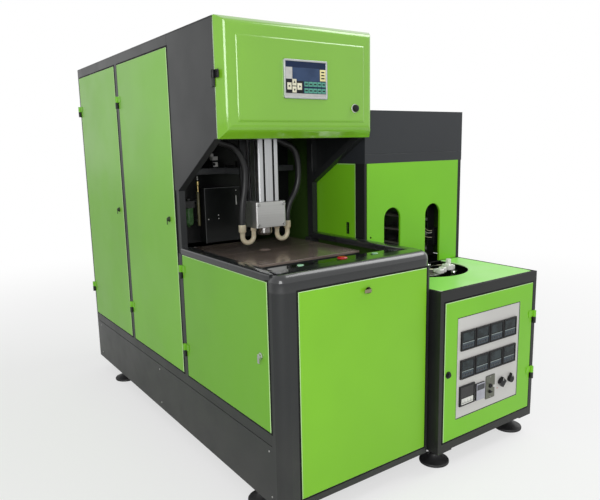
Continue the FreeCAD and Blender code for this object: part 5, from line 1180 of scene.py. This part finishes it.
LEVER = [(0, 0), (3.4, 0), (3.6, 4), (3.2, 12), (4.6, 17), (0, 17)]
TIP = [(0, 15.5), (4.7, 16.5), (5.5, 19), (5.5, 22), (4.4, 24.2), (2.4, 25), (0, 25)]
TOGGLE_COLLAR = [(4.4, 0), (10, 0), (10, 3), (8.6, 4.2), (4.4, 4.2)]
TOGGLE = (1088, -52.5, 309)
LEVER_LEANS = (0, -19, 6)
piece("toggle_lever", [turned(LEVER, TOGGLE, LEVER_LEANS, 28)], chrome, "toggle_switch", "chrome",
      ["toggle_switch"])
piece("toggle_tip", [turned(TIP, TOGGLE, LEVER_LEANS, 28)], pale_plastic, "toggle_switch", "chrome",
      ["toggle_switch"])
piece("toggle_collar", [tube(TOGGLE_COLLAR, (1088, -52, 309), (0, -1, 0), 32)], black_plastic, "heater_door",
      "black_plastic")
dressed("diamond_knob", black_plastic, "black_plastic", 1.6, segments=3)
dressed("drop_knob", black_plastic, "black_plastic", 1.6, segments=3)
mark_red = printed("scale_mark_red", (0.55, 0.05, 0.04))
parts = [slab((1138, 1146), (-49.5, -49), (282, 285))]
piece("scale_mark", parts, mark_red, "heater_door", "light_grey")
pointer = printed("pointer_white", (0.7, 0.7, 0.68))
piece("diamond_pointer", [slab((1162, 1164), (-67.6, -67), (318, 333))], pointer, "diamond_knob",
      "black_plastic")
piece("drop_pointer", [slab((1229, 1231), (-65.6, -65), (322, 336))], pointer, "drop_knob", "black_plastic")


# ---------------------------------------------------------------- preform loop
# A steel track round two spoked wheels carries sixteen steel spindles past two racks of quartz
# lamps with polished reflectors. A black terminal strip with blackened screws ends the lamps' wiring.
dressed("preform_track", ground, "ground_steel", 1.0)
SPINDLE = [(0, 708), (22.6, 708), (24, 709.4), (24, 718.6), (22.6, 720), (17, 720), (17, 724), (16, 726),
           (16, 752), (17, 754), (17, 772), (15, 780), (0, 780)]
SPINDLES = 16
LOOP_RADIUS = 139
LOOP_BACK = 1540
STRAIGHT = LOOP_BACK - LOOP_FRONT
HALF_TURN = np.pi * LOOP_RADIUS


def on_loop(distance):
    """Places along the loop: every distance is split into what lies on each straight and each half turn."""
    out = np.clip(distance, 0, STRAIGHT)
    far_turn = np.clip(distance - STRAIGHT, 0, HALF_TURN) / LOOP_RADIUS
    home = np.clip(distance - STRAIGHT - HALF_TURN, 0, STRAIGHT)
    near_turn = np.clip(distance - 2 * STRAIGHT - HALF_TURN, 0, HALF_TURN) / LOOP_RADIUS
    angle = far_turn + near_turn
    x = LOOP_X + LOOP_RADIUS * np.cos(angle)
    return np.stack([x, LOOP_FRONT + out - home + LOOP_RADIUS * np.sin(angle), 0 * x], axis=1)


spindle_at = 2 * (STRAIGHT + HALF_TURN) * (np.arange(SPINDLES) + 0.5) / SPINDLES
parts = [turned(SPINDLE, place, steps=28) for place in on_loop(spindle_at)]
piece("spindles_turned", parts, polished, "machine", "ground_steel", ["preform_spindles"])
dressed("front_wheel", ground, "ground_steel", 1.2)
dressed("rear_wheel", ground, "ground_steel", 1.2)
reflector = metal("reflector_aluminium", (0.72, 0.72, 0.73), 0.18, (1, 0.02, 1), 300.0, 0.02)
rack_ends = [((790, y - 2, 795), (1340, y + 2, 1275), heater_enamel) for y in (521.5, 1638.5)]
dressed("lamp_racks", reflector, "reflector", 0.8, zones=rack_ends)
quartz, tree, shader = finish("quartz_tube", (0.86, 0.80, 0.70), 0.08, transmission_weight=0.6, ior=1.46)
relief(tree, shader, (noise(tree, 400.0, 1.0, (1, 0.05, 1)), 0.05))
PORCELAIN_CAP = [(0, 0), (8, 0), (9, 1), (9, 22), (8, 24), (0, 24)]
LAMP = [(0, 0), (6.4, 0), (6.4, 1066), (0, 1066)]
lamps, caps = [], []
for x in (825, 1305):
    for z in range(835, 1226, 78):
        lamps.append(turned(LAMP, (x, 547, z), (0, 1, 0), steps=20))
        caps += [turned(PORCELAIN_CAP, (x, y, z), (0, 1, 0), steps=24) for y in (523.5, 1612)]
piece("quartz_lamps", lamps, quartz, "machine", "reflector")
piece("lamp_caps", caps, glaze, "machine", "white_ceramic")
piece("terminal_block", [slab((1296, 1322), (488.5, 520), (860, 950))], black_plastic, "machine",
      "black_plastic", ["wire_plugs"], width=2.5, segments=3)
TERMINAL_SCREW = [(0, 0), (4.2, 0), (4.2, 2), (3.4, 2.8), (0, 2.8)]
parts = [turned(TERMINAL_SCREW, (1309, 488.6, z), (0, -1, 0), steps=20)
         for z in (872, 884, 901, 914, 926, 939)]
blackened = metal("blackened_steel", (0.05, 0.05, 0.05), 0.4)
piece("terminal_screws", parts, blackened, "machine", "ground_steel")
